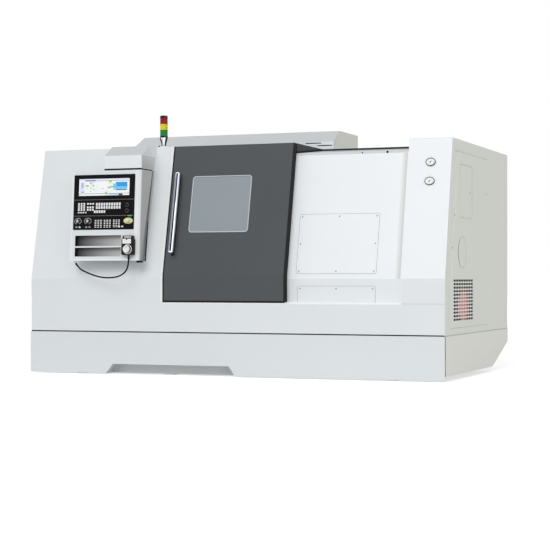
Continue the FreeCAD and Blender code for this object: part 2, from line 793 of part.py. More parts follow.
def chamber_walls():
    """Left wall with the spindle's hole, and the right wall."""
    left = chamber_wall(WALL_X[0])
    hole = between((WALL_X[0] - 1, WALL_X[0] + SHEET + 1), SPINDLE_Y, SPINDLE_Z, WALL_HOLE)
    return left.cut(hole), chamber_wall(WALL_X[1])


def chamber_back():
    """Upright sheet behind the bed, from the casting to the roof."""
    floor = bed_point(BED_V[1], 0)[1]
    return block(
        (WALL_X[0], WALL_X[1] + SHEET), (BACK_WALL, BACK_WALL + SHEET), (floor, ROOF - SHEET))


def chip_tray():
    """Folded trough between the apron and the bed."""
    rear = bed_point(BED_V[0], 0)[0] - SHEET
    outline = [
        (TRAY_FRONT, LEDGE - SHEET), (TRAY_FRONT, TRAY_FLOOR[0]), (rear, TRAY_FLOOR[1]),
        (rear, TRAY_REAR_TOP),
    ]
    return folded(outline, (WALL_X[0] + SHEET, WALL_X[1]))


def hydraulic_unit():
    """Oil tank with a finned upright pump motor and a cooling fan facing the vents."""
    tank = block(TANK_X, TANK_Y, (SEAM, SEAM + TANK_HEIGHT))
    x = sum(TANK_X) / 2
    y = TANK_Y[0] + 2 * TANK_MOTOR
    floor = SEAM + TANK_HEIGHT
    top = floor + TANK_MOTOR_HEIGHT
    motor = rod(TANK_CORE, (x, y, floor), (x, y, top))
    for i in range(TANK_FINS):
        fin = block((x, x + TANK_MOTOR), (y - FIN / 2, y + FIN / 2), (floor + SHEET, top - SHEET))
        fin.rotate(Vector(x, y, 0), Vector(0, 0, 1), i * 360.0 / TANK_FINS)
        motor = motor.fuse(fin)
    cap = rod(TANK_MOTOR, (x, y, top), (x, y, top + TANK_CAP))
    filler_y = TANK_Y[1] - 2 * FILLER_RADIUS
    filler = rod(FILLER_RADIUS, (x, filler_y, floor), (x, filler_y, floor + FILLER_HEIGHT))
    (y0, y1), (z0, z1) = FAN_Y, FAN_Z
    near = END_INNER - FAN_GAP
    far = near - FAN_DEPTH
    cowl = prism_x([
        (y0 + FAN_CORNER, z0), (y1 - FAN_CORNER, z0), (y1, z0 + FAN_CORNER), (y1, z1 - FAN_CORNER),
        (y1 - FAN_CORNER, z1), (y0 + FAN_CORNER, z1), (y0, z1 - FAN_CORNER), (y0, z0 + FAN_CORNER),
    ], (far, near))
    hub_y = (y0 + y1) / 2
    hub_z = floor - FAN_HUB
    hub = rod(FAN_HUB, (TANK_X[1], hub_y, hub_z), (far, hub_y, hub_z))
    return tank.multiFuse([motor, cap, filler, cowl, hub]).removeSplitter()


def make_enclosure():
    upper, lower = inspection_covers()
    rail, guide = door_rails()
    save("front_panel", front_panel())
    save("right_column", right_column())
    save("fixed_panel", fixed_panel())
    save("inspection_covers", upper, lower)
    save("left_end_panel", end_panel(-1))
    save("right_end_panel", right_end_panel())
    save("right_service_panel", service_panel())
    save("rear_panel", rear_panel())
    save("roof_panel", roof_panel())
    save("top_cover", top_cover())
    save("upper_rail", rail)
    save("lower_rail", guide)
    save("chamber_walls", *chamber_walls())
    save("chamber_back", chamber_back())
    save("chip_tray", chip_tray())
    save("hydraulic_unit", hydraulic_unit())


# ---- door ----------------------------------------------------------------------------------


def door_panel():
    """Deep pressed sheet, open at its back, with its own roof and the window opening."""
    right = DOOR_LEFT + DOOR_WIDTH
    x = (DOOR_LEFT, right)
    top = ROOF
    body = prism_x([
        (0, DOOR_BOTTOM), (0, DOOR_KINK), (door_y(top), top), (door_y(top) + DOOR_DEPTH, top),
        (DOOR_DEPTH, DOOR_KINK), (DOOR_DEPTH, DOOR_BOTTOM),
    ], x)
    under = top - SHEET
    hollow = prism_x([
        (SHEET, DOOR_BOTTOM + SHEET), (SHEET, DOOR_KINK), (door_y(under) + SHEET, under),
        (door_y(under) + 2 * DOOR_DEPTH, under), (2 * DOOR_DEPTH, DOOR_KINK),
        (2 * DOOR_DEPTH, DOOR_BOTTOM + SHEET),
    ], (DOOR_LEFT + SHEET, right - SHEET))
    roof = block(x, (door_y(top), DOOR_ROOF_REAR), (under, top))
    z = tuple(slope(height, DOOR_KINK, SETBACK) for height in WINDOW_Z)
    window = on_door(plate(WINDOW_X, z, (-DOOR_DEPTH, DOOR_DEPTH), WINDOW_RADIUS))
    return body.cut(hollow).cut(window).fuse(roof).removeSplitter()


def window_parts():
    """Rubber frame outside the opening and the pane behind it."""
    z = tuple(slope(height, DOOR_KINK, SETBACK) for height in WINDOW_Z)

    def grown(by, y):
        x_span = (WINDOW_X[0] - by, WINDOW_X[1] + by)
        return plate(x_span, (z[0] - by, z[1] + by), y, WINDOW_RADIUS + by)

    proud = (-WINDOW_FRAME_PROUD, 0)
    frame = grown(WINDOW_FRAME, proud).cut(grown(0, proud))
    pane = grown(PANE_LAP, (SHEET, SHEET + PANE))
    return on_door(frame), on_door(pane)


def door_handle():
    """Round bar with domed ends on two posts."""
    low, high = (slope(height, DOOR_KINK, SETBACK) for height in HANDLE_Z)
    bar = rod(HANDLE_RADIUS, (HANDLE_X, -HANDLE_REACH, low), (HANDLE_X, -HANDLE_REACH, high))
    bar = bar.makeChamfer(HANDLE_ROUND, [e for e in bar.Edges if e.BoundBox.ZLength < 1])
    for z in (low + HANDLE_POST_INSET, high - HANDLE_POST_INSET):
        bar = bar.fuse(rod(HANDLE_POST, (HANDLE_X, -HANDLE_REACH, z), (HANDLE_X, 0, z)))
    return on_door(bar.removeSplitter())


def make_door():
    frame, pane = window_parts()
    save("door_panel", door_panel())
    save("window_frame", frame)
    save("window_pane", pane)
    save("door_handle", door_handle())


# ---- signal tower and gauges -----------------------------------------------------------------


def make_tower():
    """Foot, pole and cup, three stacked lenses and the cap."""
    x, y = TOWER_AT
    foot_top = ROOF + TOWER_FOOT_HEIGHT
    cup_bottom = TOWER_LENS_BOTTOM - TOWER_CUP
    foot = rod(TOWER_FOOT, (x, y, ROOF), (x, y, foot_top))
    pole = rod(TOWER_POLE, (x, y, foot_top), (x, y, cup_bottom))
    cup = Part.makeCone(TOWER_CUP_FOOT, TOWER_RADIUS, TOWER_CUP, Vector(x, y, cup_bottom))
    lens_top = TOWER_LENS_BOTTOM + 3 * TOWER_LENS
    cap = rod(TOWER_RADIUS, (x, y, lens_top), (x, y, lens_top + TOWER_CAP))
    save("tower_base", foot.fuse(pole).fuse(cup).removeSplitter(), cap)
    for i, colour in enumerate(("green", "yellow", "red")):
        bottom = TOWER_LENS_BOTTOM + i * TOWER_LENS
        lens = rod(TOWER_RADIUS, (x, y, bottom), (x, y, bottom + TOWER_LENS))
        save("tower_lens_" + colour, lens)


def gauge(z):
    """Round case with a raised rim, a dial and a pointer."""
    at = slope(z, KINK, SETBACK)
    dial = GAUGE_DIAL_DEPTH - GAUGE_PROUD
    case = rod(GAUGE_RADIUS, (GAUGE_X, 0, at), (GAUGE_X, -GAUGE_PROUD, at))
    well = rod(GAUGE_RADIUS - GAUGE_RIM, (GAUGE_X, dial, at), (GAUGE_X, -GAUGE_PROUD, at))
    needle = prism_y([
        (GAUGE_X - NEEDLE_HALF, at - NEEDLE_TAIL), (GAUGE_X + NEEDLE_HALF, at - NEEDLE_TAIL),
        (GAUGE_X, at + NEEDLE_LENGTH),
    ], (dial - NEEDLE_HALF, dial))
    needle.rotate(Vector(GAUGE_X, 0, at), Vector(0, 1, 0), NEEDLE_TURN)
    return on_front(case.cut(well).fuse(needle).removeSplitter())


def make_gauges():
    save("gauges", *[gauge(z) for z in GAUGE_Z])


# ---- operator pendant ------------------------------------------------------------------------


def arm_box():
    """Sheet box on the cabinet's face that carries the pendant, with its pivot pin."""
    def shell(inset):
        outline = [
            (ARM_FRONT + inset, ARM_BOTTOM + inset), (ARM_FRONT + inset, ARM_SHOULDER),
            (ARM_TOP_FRONT, ROOF - inset), (front_y(ROOF), ROOF - inset),
            (front_y(ARM_BOTTOM), ARM_BOTTOM + inset),
        ]
        return prism_x(outline, (ARM_X[0] + inset, ARM_X[1] - inset))

    outer = shell(0)
    cabinet = prism_x([
        (0, KINK), (front_y(ROOF), ROOF), (front_y(ROOF) + DOOR_DEPTH, ROOF),
        (SETBACK + DOOR_DEPTH, KINK),
    ], (-HALF, HALF))
    return outer.cut(shell(PENDANT_SHEET)).cut(cabinet)


def pivot_pin():
    """Flanged pin from the arm box down into the pendant."""
    start = (PIVOT_X, PIVOT_Y, ARM_BOTTOM)
    return rod(PIVOT_RADIUS, start, (PIVOT_X, PIVOT_Y, ARM_BOTTOM - PIVOT_LENGTH))


def pendant_housing():
    """Leaning sheet box with two shelf pockets and a bored boss for the pivot."""
    low, high = PENDANT_Z

    def shell(inset):
        outline = [
            (PENDANT_FRONT[0] + inset, low + inset), (PENDANT_FRONT[1] + inset, high - inset),
            (PENDANT_REAR[1] - inset, high - inset), (PENDANT_REAR[0] - inset, low + inset),
        ]
        return prism_x(outline, (PENDANT_X[0] + inset, PENDANT_X[1] - inset))

    outer = shell(0)
    housing = outer.cut(shell(PENDANT_SHEET))
    wall = PENDANT_SHEET
    for z0, z1 in SHELVES_Z:
        tray = on_pendant(block(
            (SHELF_X[0] - wall, SHELF_X[1] + wall), (0, SHELF_DEPTH + wall), (z0 - wall, z1 + wall)))
        pocket = on_pendant(block(SHELF_X, (-wall, SHELF_DEPTH), (z0, z1)))
        housing = housing.fuse(tray.common(outer)).cut(pocket)
    x, z = ESTOP_AT
    stem_hole = rod(ESTOP_STEM + SLIDE_GAP, (x, -wall, z), (x, 2 * wall, z))
    housing = housing.cut(on_pendant(stem_hole))
    bottom = ARM_BOTTOM - PIVOT_LENGTH
    boss = rod(PIVOT_BOSS, (PIVOT_X, PIVOT_Y, bottom), (PIVOT_X, PIVOT_Y, high))
    bore = rod(PIVOT_RADIUS + RUNNING, (PIVOT_X, PIVOT_Y, bottom), (PIVOT_X, PIVOT_Y, high))
    return housing.fuse(boss).cut(bore).removeSplitter()


def key_block(x, z, columns, rows):
    """A grid of square keys standing on the panel."""
    step_x = (x[1] - x[0]) / columns
    step_z = (z[1] - z[0]) / rows
    keys = []
    for column in range(columns):
        for row in range(rows):
            left = x[0] + column * step_x
            low = z[0] + row * step_z
            keys.append(block(
                (left, left + KEY_SHARE * step_x), (-PANEL_THICK - KEY_PROUD, -PANEL_THICK),
                (low, low + KEY_SHARE * step_z)))
    return keys


def control_panel():
    """Face plate with the screen's recess, section grooves, keys, caps and bored bosses."""
    face = -PANEL_THICK
    panel = plate(PANEL_X, PANEL_Z, (face, 0), SHEET)
    panel = panel.cut(block(SCREEN_X, (face, face + SCREEN_DEPTH), SCREEN_Z))
    for z in GROOVE_Z:
        panel = panel.cut(block(PANEL_X, (face, face + 1), (z, z + GROOVE)))
    raised = []
    for (x, z), columns, rows in zip(KEY_SPANS, KEY_COLUMNS, KEY_ROWS):
        raised += key_block(x, z, columns, rows)
    for x, z in CAP_AT:
        raised.append(rod(CAP_RADIUS, (x, face, z), (x, face - CAP_PROUD, z)))
    x, z = ESTOP_AT
    raised.append(rod(ESTOP_PLATE, (x, face, z), (x, face - ESTOP_PLATE_THICK, z)))
    panel = panel.multiFuse(raised)
    panel = panel.cut(rod(ESTOP_STEM + RUNNING, (x, 0, z), (x, face - ESTOP_PLATE_THICK, z)))
    for dial_x in DIAL_X:
        panel = panel.cut(rod(DIAL_SHAFT + RUNNING, (dial_x, 0, DIAL_Z), (dial_x, face, DIAL_Z)))
    return on_pendant(panel)


def override_dial(x):
    """Round skirt with a pointed grip and a shaft through the panel."""
    near = -PANEL_THICK - SLIDE_GAP
    skirt = rod(DIAL_RADIUS, (x, near, DIAL_Z), (x, near - SHEET, DIAL_Z))
    half, reach = DIAL_GRIP
    grip = prism_y([
        (x - half, DIAL_Z - reach), (x + half, DIAL_Z - reach), (x + half, DIAL_Z + reach - half),
        (x, DIAL_Z + reach), (x - half, DIAL_Z + reach - half),
    ], (near - DIAL_HEIGHT, near))
    shaft = rod(DIAL_SHAFT, (x, 0, DIAL_Z), (x, near, DIAL_Z))
    return on_pendant(skirt.fuse(grip).fuse(shaft).removeSplitter())


def estop_button():
    """Mushroom button on a stem through its plate."""
    x, z = ESTOP_AT
    plate_top = -PANEL_THICK - ESTOP_PLATE_THICK
    head_base = plate_top - ESTOP_TRAVEL - ESTOP_PLATE_THICK
    stem = rod(ESTOP_STEM, (x, plate_top + ESTOP_STEM / 2, z), (x, head_base, z))
    head = Part.makeCone(
        ESTOP_RADIUS, ESTOP_CROWN, ESTOP_HEIGHT - ESTOP_TRAVEL - ESTOP_PLATE_THICK,
        Vector(x, head_base, z), Vector(0, -1, 0))
    return on_pendant(stem.fuse(head).removeSplitter())


def hand_unit():
    """Handwheel unit hung on the pendant, narrower at the top, with its cable gland."""
    x0, x1 = HAND_X
    z0, z1 = HAND_Z
    shoulder = z0 + HAND_SHOULDER
    outline = [
        (x0, z0), (x1, z0), (x1, shoulder), (x1 - HAND_NECK, shoulder + HAND_NECK),
        (x1 - HAND_NECK, z1), (x0 + HAND_NECK, z1), (x0 + HAND_NECK, shoulder + HAND_NECK),
        (x0, shoulder),
    ]
    body = prism_y(outline, (-HAND_THICK, 0))
    upright = [e for e in body.Edges if abs(e.BoundBox.YMax - e.BoundBox.YMin - HAND_THICK) < 0.01]
    body = body.makeFillet(HAND_GRIP_RADIUS, upright)
    x, z = HAND_WHEEL_AT
    floor = -HAND_THICK + HAND_WHEEL_HEIGHT
    body = body.cut(rod(HAND_SHAFT + RUNNING, (x, -HAND_THICK, z), (x, floor, z)))
    placed_body = on_pendant(body)
    top = pendant_point(0, 0, z0)[2]
    gland = rod(GLAND_RADIUS, (*CABLE_START, top + GLAND_LENGTH), (*CABLE_START, top - GLAND_LENGTH))
    return placed_body.fuse(gland).removeSplitter()


def hand_wheel():
    """Round wheel with a crank grip and a short shaft."""
    x, z = HAND_WHEEL_AT
    near = -HAND_THICK - SLIDE_GAP
    far = near - HAND_WHEEL_HEIGHT
    wheel = rod(HAND_WHEEL_RADIUS, (x, near, z), (x, far, z))
    grip_z = z + HAND_GRIP_AT
    grip = rod(HAND_GRIP_RADIUS, (x, far, grip_z), (x, far - HAND_GRIP_HEIGHT, grip_z))
    shaft = rod(HAND_SHAFT, (x, near, z), (x, near + HAND_WHEEL_HEIGHT - SHEET, z))
    return on_pendant(wheel.fuse(grip).fuse(shaft).removeSplitter())


def cable_route():
    """The free cable's points, from the handwheel unit's gland to the pendant's lower corner."""
    start_z = pendant_point(0, 0, HAND_Z[0])[2] - GLAND_LENGTH
    tilt = Vector(*CABLE_TILT).normalize()
    end = Vector(*CABLE_END, PENDANT_Z[0]) - tilt * CABLE_GLAND_LENGTH
    before_end = end - tilt * CABLE_LAST_RUN
    return [
        Vector(*CABLE_START, start_z), Vector(*CABLE_START, 985.0), Vector(-925.0, -137.0, 918.0),
        Vector(-993.0, -131.0, 880.0), Vector(-1080.0, -123.0, 868.0), Vector(-1175.0, -114.0, 872.0),
        Vector(-1270.0, -105.0, 894.0), Vector(-1355.0, -98.0, 926.0), before_end, end,
    ]


def cable():
    """The cable's tube along straight runs and tangent arcs, and its length and radii."""
    points = cable_route()
    edges = []
    radii = []
    at = points[0]
    for before, corner, after in zip(points, points[1:], points[2:]):
        into = (corner - before).normalize()
        out = (after - corner).normalize()
        half = into.getAngle(out) / 2
        short = min((corner - before).Length, (after - corner).Length)
        cut_back = CABLE_RATIO * short
        radius = cut_back / math.tan(half)
        start = corner - into * cut_back
        finish = corner + out * cut_back
        inward = (out - into).normalize()
        middle = corner + inward * (radius / math.cos(half) - radius)
        edges.append(Part.makeLine(at, start))
        edges.append(Part.Arc(start, middle, finish).toShape())
        radii.append(radius)
        at = finish
    edges.append(Part.makeLine(at, points[-1]))
    path = Part.Wire(edges)
    section = Part.Wire([Part.makeCircle(CABLE_RADIUS, points[0], points[1] - points[0])])
    tube = path.makePipeShell([section], True, False)
    area = math.pi * CABLE_RADIUS ** 2
    print("cable length", round(path.Length, 1), "radii", [round(r) for r in radii])
    print("cable volume share", round(tube.Volume / (area * path.Length), 4))
    return tube


def cable_gland():
    """Tilted gland under the pendant's lower left corner."""
    tilt = Vector(*CABLE_TILT).normalize()
    top = Vector(*CABLE_END, PENDANT_Z[0])
    start = top - tilt * CABLE_GLAND_LENGTH
    body = Part.makeCylinder(GLAND_RADIUS, 2 * CABLE_GLAND_LENGTH, start, tilt)
    above = block(
        (top.x - CABLE_GLAND_LENGTH, top.x + CABLE_GLAND_LENGTH),
        (top.y - CABLE_GLAND_LENGTH, top.y + CABLE_GLAND_LENGTH),
        (PENDANT_Z[0], PENDANT_Z[0] + 2 * CABLE_GLAND_LENGTH))
    return body.cut(above)


def make_pendant():
    save("arm_box", arm_box())
    save("pivot_pin", pivot_pin())
    save("pendant_housing", pendant_housing().fuse(cable_gland()).removeSplitter())
    save("control_panel", control_panel())
    face = -PANEL_THICK
    save("screen", on_pendant(block(SCREEN_X, (face, face + SCREEN_DEPTH), SCREEN_Z)))
    save("override_dial_left", override_dial(DIAL_X[0]))
    save("override_dial_right", override_dial(DIAL_X[1]))
    save("estop_button", estop_button())
    save("hand_unit", hand_unit())
    save("hand_wheel", hand_wheel())
    save("hand_cable", cable())


# ---- bed, headstock and spindle --------------------------------------------------------------


def bed():
    """Slanting cast bed with box ways, a trough for the screw and cored ribs at the rear."""
    low = bed_point(BED_V[0], 0)
    high = bed_point(BED_V[1], 0)
    outline = [
        low, high, (BED_REAR, high[1]), (BED_REAR, SEAM), (BED_TOE, SEAM),
        (low[0], low[1] - BED_FRONT_DROP),
    ]
    casting = prism_x(outline, BED_X)
    pitch = (BED_X[1] - BED_X[0] - FRAME_WALL) / RIB_POCKETS
    for i in range(RIB_POCKETS):
        x = BED_X[0] + FRAME_WALL + i * pitch
        pocket = prism_x([
            (BED_TOE + FRAME_WALL, SEAM + FRAME_WALL), (BED_REAR + 1, SEAM + FRAME_WALL),
            (BED_REAR + 1, high[1] - 2 * FRAME_WALL), (high[0], high[1] - 4 * FRAME_WALL),
            (BED_TOE + FRAME_WALL, low[1] - FRAME_WALL),
        ], (x, x + pitch - FRAME_WALL))
        casting = casting.cut(pocket)
    for v, width, height in (
        (SADDLE_WAYS[0], SADDLE_WAY_WIDTH, SADDLE_WAY_HEIGHT),
        (SADDLE_WAYS[1], SADDLE_WAY_WIDTH, SADDLE_WAY_HEIGHT),
        (TAIL_WAYS[0], TAIL_WAY_WIDTH, TAIL_WAY_HEIGHT),
        (TAIL_WAYS[1], TAIL_WAY_WIDTH, TAIL_WAY_HEIGHT),
    ):
        way = on_bed(block(WAY_X, (v - width / 2, v + width / 2), (0, height)))
        casting = casting.fuse(way)
    half, depth = SCREW_TROUGH
    trough_x = (WAY_X[0] - FRAME_WALL, WAY_X[1])
    trough = on_bed(block(trough_x, (SCREW_V - half, SCREW_V + half), (-depth, 1)))
    return casting.cut(trough).removeSplitter()


def headstock():
    """Cast housing round the spindle, on a wide foot on the bed's face."""
    barrel = between(HEAD_X, 0, SWING, HEAD_HALF)
    web = block(HEAD_X, (-HEAD_HALF, HEAD_HALF), (0, SWING))
    foot = block(HEAD_X, (-HEAD_FOOT, HEAD_FOOT), (0, HEAD_FOOT_HEIGHT))
    bore = between(HEAD_X, 0, SWING, SPINDLE_RADIUS + RUNNING)
    return on_bed(barrel.fuse(web).fuse(foot).cut(bore).removeSplitter())


def round_x(x, radius):
    """A disc or bar on the spindle's axis."""
    return between(x, SPINDLE_Y, SPINDLE_Z, radius)


def spindle():
    """Hollow spindle with its nose flange."""
    nose = (CHUCK_X[0] - NOSE_LENGTH, CHUCK_X[0])
    shaft = round_x(SPINDLE_X, SPINDLE_RADIUS).fuse(round_x(nose, NOSE_RADIUS))
    return shaft.cut(round_x(SPINDLE_X, SPINDLE_BORE)).removeSplitter()


def spindle_pulley():
    """Plain belt pulley on the spindle's rear end."""
    return round_x(PULLEY_X, PULLEY_RADIUS).cut(round_x(PULLEY_X, SPINDLE_RADIUS))


def chuck_body():
    """Power chuck body with three radial slots and a centre bore."""
    body = round_x(CHUCK_X, CHUCK_RADIUS).cut(round_x(CHUCK_X, SPINDLE_BORE))
    for i in range(JAWS):
        slot = block(
            (CHUCK_X[1] - JAW_TONGUE, CHUCK_X[1] + 1), (-JAW_SLOT / 2, JAW_SLOT / 2),
            (0, CHUCK_RADIUS + 1))
        body = body.cut(at_jaw(slot, i))
    return body


def at_jaw(shape, index):
    """Turns a shape drawn above the spindle to one jaw's place."""
    turned = shape.copy()
    turned.Placement = Placement(
        Vector(0, SPINDLE_Y, SPINDLE_Z), Rotation(Vector(1, 0, 0), 360.0 * index / JAWS))
    return turned


def chuck_jaw(index):
    """Stepped jaw with a tongue in the chuck's slot."""
    near = CHUCK_X[1] + SLIDE_GAP
    half = JAW_WIDTH / 2
    base = block((near, near + JAW_LENGTH / 2), (-half, half), JAW_REACH)
    step = block((near, near + JAW_LENGTH), (-half, half), (JAW_STEP, JAW_REACH[1]))
    tongue_half = JAW_SLOT / 2 - SLIDE_GAP
    tongue = block(
        (CHUCK_X[1] - JAW_TONGUE + SLIDE_GAP, near), (-tongue_half, tongue_half), JAW_REACH)
    return at_jaw(base.fuse(step).fuse(tongue).removeSplitter(), index)


def motor_section(half, x):
    """A square with cut corners round the motor's axis, carried along X."""
    y, z = MOTOR_Y, MOTOR_Z
    flat = half - MOTOR_CORNER
    return prism_x([
        (y - flat, z - half), (y + flat, z - half), (y + half, z - flat), (y + half, z + flat),
        (y + flat, z + half), (y - flat, z + half), (y - half, z + flat), (y - half, z - flat),
    ], x)


def motor():
    """Square foot-mounted spindle motor with end bells and a terminal box."""
    body = motor_section(MOTOR_HALF - MOTOR_STEP, MOTOR_X)
    for x in ((MOTOR_X[0], MOTOR_X[0] + MOTOR_BELL), (MOTOR_X[1] - MOTOR_BELL, MOTOR_X[1])):
        body = body.fuse(motor_section(MOTOR_HALF, x))
    feet = block(
        (MOTOR_X[0] + MOTOR_FOOT, MOTOR_X[1] - MOTOR_FOOT),
        (MOTOR_Y - MOTOR_HALF, MOTOR_Y + MOTOR_HALF), (SEAM, SEAM + MOTOR_FOOT))
    web = block(
        (MOTOR_X[0] + MOTOR_FOOT, MOTOR_X[1] - MOTOR_FOOT),
        (MOTOR_Y - MOTOR_HALF / 2, MOTOR_Y + MOTOR_HALF / 2), (SEAM, MOTOR_Z))
    length, half, height = TERMINAL_BOX
    roof = MOTOR_Z + MOTOR_HALF - MOTOR_STEP
    middle = sum(MOTOR_X) / 2
    box = block(
        (middle - length / 2, middle + length / 2), (MOTOR_Y - half, MOTOR_Y + half),
        (roof, roof + height))
    bore = between((MOTOR_X[1] - MOTOR_BELL, MOTOR_X[1]), MOTOR_Y, MOTOR_Z, MOTOR_SHAFT + RUNNING)
    return body.fuse(feet).fuse(web).fuse(box).cut(bore).removeSplitter()


def motor_pulley():
    """Small flanged pulley, which keeps the belt in line, with its shaft into the motor."""
    wheel = between(PULLEY_X, MOTOR_Y, MOTOR_Z, MOTOR_PULLEY_RADIUS)
    for start in (PULLEY_X[0], PULLEY_X[1] - PULLEY_RIM):
        rim = (start, start + PULLEY_RIM)
        wheel = wheel.fuse(between(rim, MOTOR_Y, MOTOR_Z, MOTOR_PULLEY_RADIUS + PULLEY_FLANGE))
    shaft = between((MOTOR_X[1] - MOTOR_BELL + SHEET, PULLEY_X[0]), MOTOR_Y, MOTOR_Z, MOTOR_SHAFT)
    return wheel.fuse(shaft).removeSplitter()


def loop(grow, x):
    """The solid that a tight band round both pulleys would enclose."""
    big = PULLEY_RADIUS + BELT_GAP + grow
    small = MOTOR_PULLEY_RADIUS + BELT_GAP + grow
    way = Vector(0, MOTOR_Y - SPINDLE_Y, MOTOR_Z - SPINDLE_Z)
    lean = math.atan2(way.z, way.y)
    spread_angle = math.acos((big - small) / way.Length)
    corners = []
    for y, z, radius, side in (
        (SPINDLE_Y, SPINDLE_Z, big, 1), (MOTOR_Y, MOTOR_Z, small, 1),
        (MOTOR_Y, MOTOR_Z, small, -1), (SPINDLE_Y, SPINDLE_Z, big, -1),
    ):
        angle = lean + side * spread_angle
        corners.append((y + radius * math.cos(angle), z + radius * math.sin(angle)))
    band = prism_x(corners, x)
    return band.fuse(between(x, SPINDLE_Y, SPINDLE_Z, big)).fuse(between(x, MOTOR_Y, MOTOR_Z, small))


def drive_belt():
    """Flat belt round both pulleys, between their flanges."""
    x = (PULLEY_X[0] + PULLEY_RIM + BELT_GAP, PULLEY_X[1] - PULLEY_RIM - BELT_GAP)
    return loop(BELT, x).cut(loop(0, x)).removeSplitter()


def make_spindle():
    save("bed", bed())
    save("headstock", headstock())
    save("spindle", spindle())
    save("spindle_pulley", spindle_pulley())
    save("chuck_body", chuck_body())
    for i in range(JAWS):
        save("chuck_jaw_" + str(i + 1), chuck_jaw(i))
    save("spindle_motor", motor())
    save("motor_pulley", motor_pulley())
    save("drive_belt", drive_belt())


# ---- carriage, turret and tailstock ----------------------------------------------------------


def servo():
    """Square servo motor at the end of the long screw, with a round rear cover."""
    half, depth = SCREW_TROUGH
    middle = SERVO_LIFT + half - depth
    body = block(
        (SCREW_X[1], SCREW_X[1] + SERVO_BODY), (SCREW_V - half, SCREW_V + half),
        (middle - half, middle + half))
    cover = rod(
        SERVO_COVER, (SCREW_X[1] + SERVO_BODY, SCREW_V, middle),
        (SCREW_X[1] + SERVO_LENGTH, SCREW_V, middle))
    return body.fuse(cover).removeSplitter()


def screw_supports():
    """Bearing blocks in the trough at both ends of the long screw, and its servo motor."""
    half, depth = SCREW_TROUGH
    supports = []
    for start in (SCREW_X[0], SCREW_X[1] - SUPPORT_LENGTH):
        x = (start, start + SUPPORT_LENGTH)
        support = block(x, (SCREW_V - half, SCREW_V + half), (-depth, SCREW_W + 2 * SCREW_RADIUS_Z))
        supports.append(support.cut(between(x, SCREW_V, SCREW_W, SCREW_JOURNAL + RUNNING)))
    return [on_bed(shape) for shape in supports + [servo()]]


def long_screw():
    """Ball screw along the bed with turned-down ends in the bearing blocks."""
    journal = (SCREW_X[0] + SHEET, SCREW_X[1] - SHEET)
    thread = (SCREW_X[0] + SUPPORT_LENGTH + SHEET, SCREW_X[1] - SUPPORT_LENGTH - SHEET)
    shaft = between(journal, SCREW_V, SCREW_W, SCREW_JOURNAL)
    return on_bed(shaft.fuse(between(thread, SCREW_V, SCREW_W, SCREW_RADIUS_Z)).removeSplitter())


def saddle():
    """Carriage on the box ways, with the cross ways on top and the screw's nut below."""
    low = SADDLE_WAY_HEIGHT + SLIDE_GAP
    body = block(SADDLE_X, SADDLE_V, (low, SADDLE_TOP))
    first = SADDLE_WAYS[0] - SADDLE_WAY_WIDTH / 2 - SLIDE_GAP
    last = SADDLE_WAYS[1] + SADDLE_WAY_WIDTH / 2 + SLIDE_GAP
    body = body.fuse(block(SADDLE_X, (SADDLE_V[0], first), (low - LIP_DROP, low)))
    body = body.fuse(block(SADDLE_X, (last, last + LIP), (low - LIP_DROP, low)))
    for x in CROSS_WAYS:
        span = (x - CROSS_WAY_WIDTH / 2, x + CROSS_WAY_WIDTH / 2)
        body = body.fuse(block(span, SADDLE_V, (SADDLE_TOP, SADDLE_TOP + CROSS_WAY_HEIGHT)))
    middle = sum(SADDLE_X) / 2
    nut_x = (middle - SUPPORT_LENGTH, middle + SUPPORT_LENGTH)
    nut_half = 2 * SCREW_RADIUS_Z
    nut = block(nut_x, (SCREW_V - nut_half, SCREW_V + nut_half), (SCREW_W - NUT_DEPTH, low))
    body = body.fuse(nut).cut(between(nut_x, SCREW_V, SCREW_W, SCREW_RADIUS_Z + RUNNING))
    bracket = block(
        (middle - BRACKET_WIDTH / 2, middle + BRACKET_WIDTH / 2), (SADDLE_V[1], SADDLE_V[1] + LIP),
        (low, SADDLE_TOP + CROSS_WAY_HEIGHT - SHEET))
    top = SADDLE_TOP + CROSS_WAY_HEIGHT - SHEET
    behind = SADDLE_V[1] + LIP
    drive = block(
        (middle - CROSS_SERVO / 2, middle + CROSS_SERVO / 2), (behind, behind + CROSS_SERVO_LENGTH),
        (top - CROSS_SERVO, top))
    return on_bed(body.fuse(bracket).fuse(drive).removeSplitter())


def cross_slide():
    """Slide across the saddle, hooked over its ways."""
    low = SADDLE_TOP + CROSS_WAY_HEIGHT + SLIDE_GAP
    body = block(SADDLE_X, CROSS_V, (low, CROSS_TOP))
    first = CROSS_WAYS[0] - CROSS_WAY_WIDTH / 2 - SLIDE_GAP
    last = CROSS_WAYS[1] + CROSS_WAY_WIDTH / 2 + SLIDE_GAP
    drop = low - CROSS_HOOK
    body = body.fuse(block((SADDLE_X[0], first), CROSS_V, (drop, low)))
    body = body.fuse(block((last, SADDLE_X[1]), CROSS_V, (drop, low)))
    return on_bed(body.removeSplitter())


def turret_housing():
    """Turret body on the cross slide with a round drive cover behind it."""
    body = block(
        TURRET_X, (TURRET_V - TURRET_HALF, TURRET_V + TURRET_HALF), (CROSS_TOP, SWING + TURRET_HALF))
    long_edges = [
        e for e in body.Edges
        if e.BoundBox.XMax - e.BoundBox.XMin > 1 and e.BoundBox.ZMin > CROSS_TOP + 1]
    body = body.makeFillet(LIP, long_edges)
    cover = between((TURRET_X[1], TURRET_X[1] + TURRET_CAP), TURRET_V, SWING, TURRET_CAP_RADIUS)
    hub_x = (TURRET_X[0], TURRET_X[0] + HUB_LENGTH + SHEET)
    bore = between(hub_x, TURRET_V, SWING, HUB_RADIUS + RUNNING)
    return on_bed(body.fuse(cover).cut(bore).removeSplitter())


def station(index):
    """The angle of one turret station."""
    return 360.0 * (index + 0.5) / STATIONS


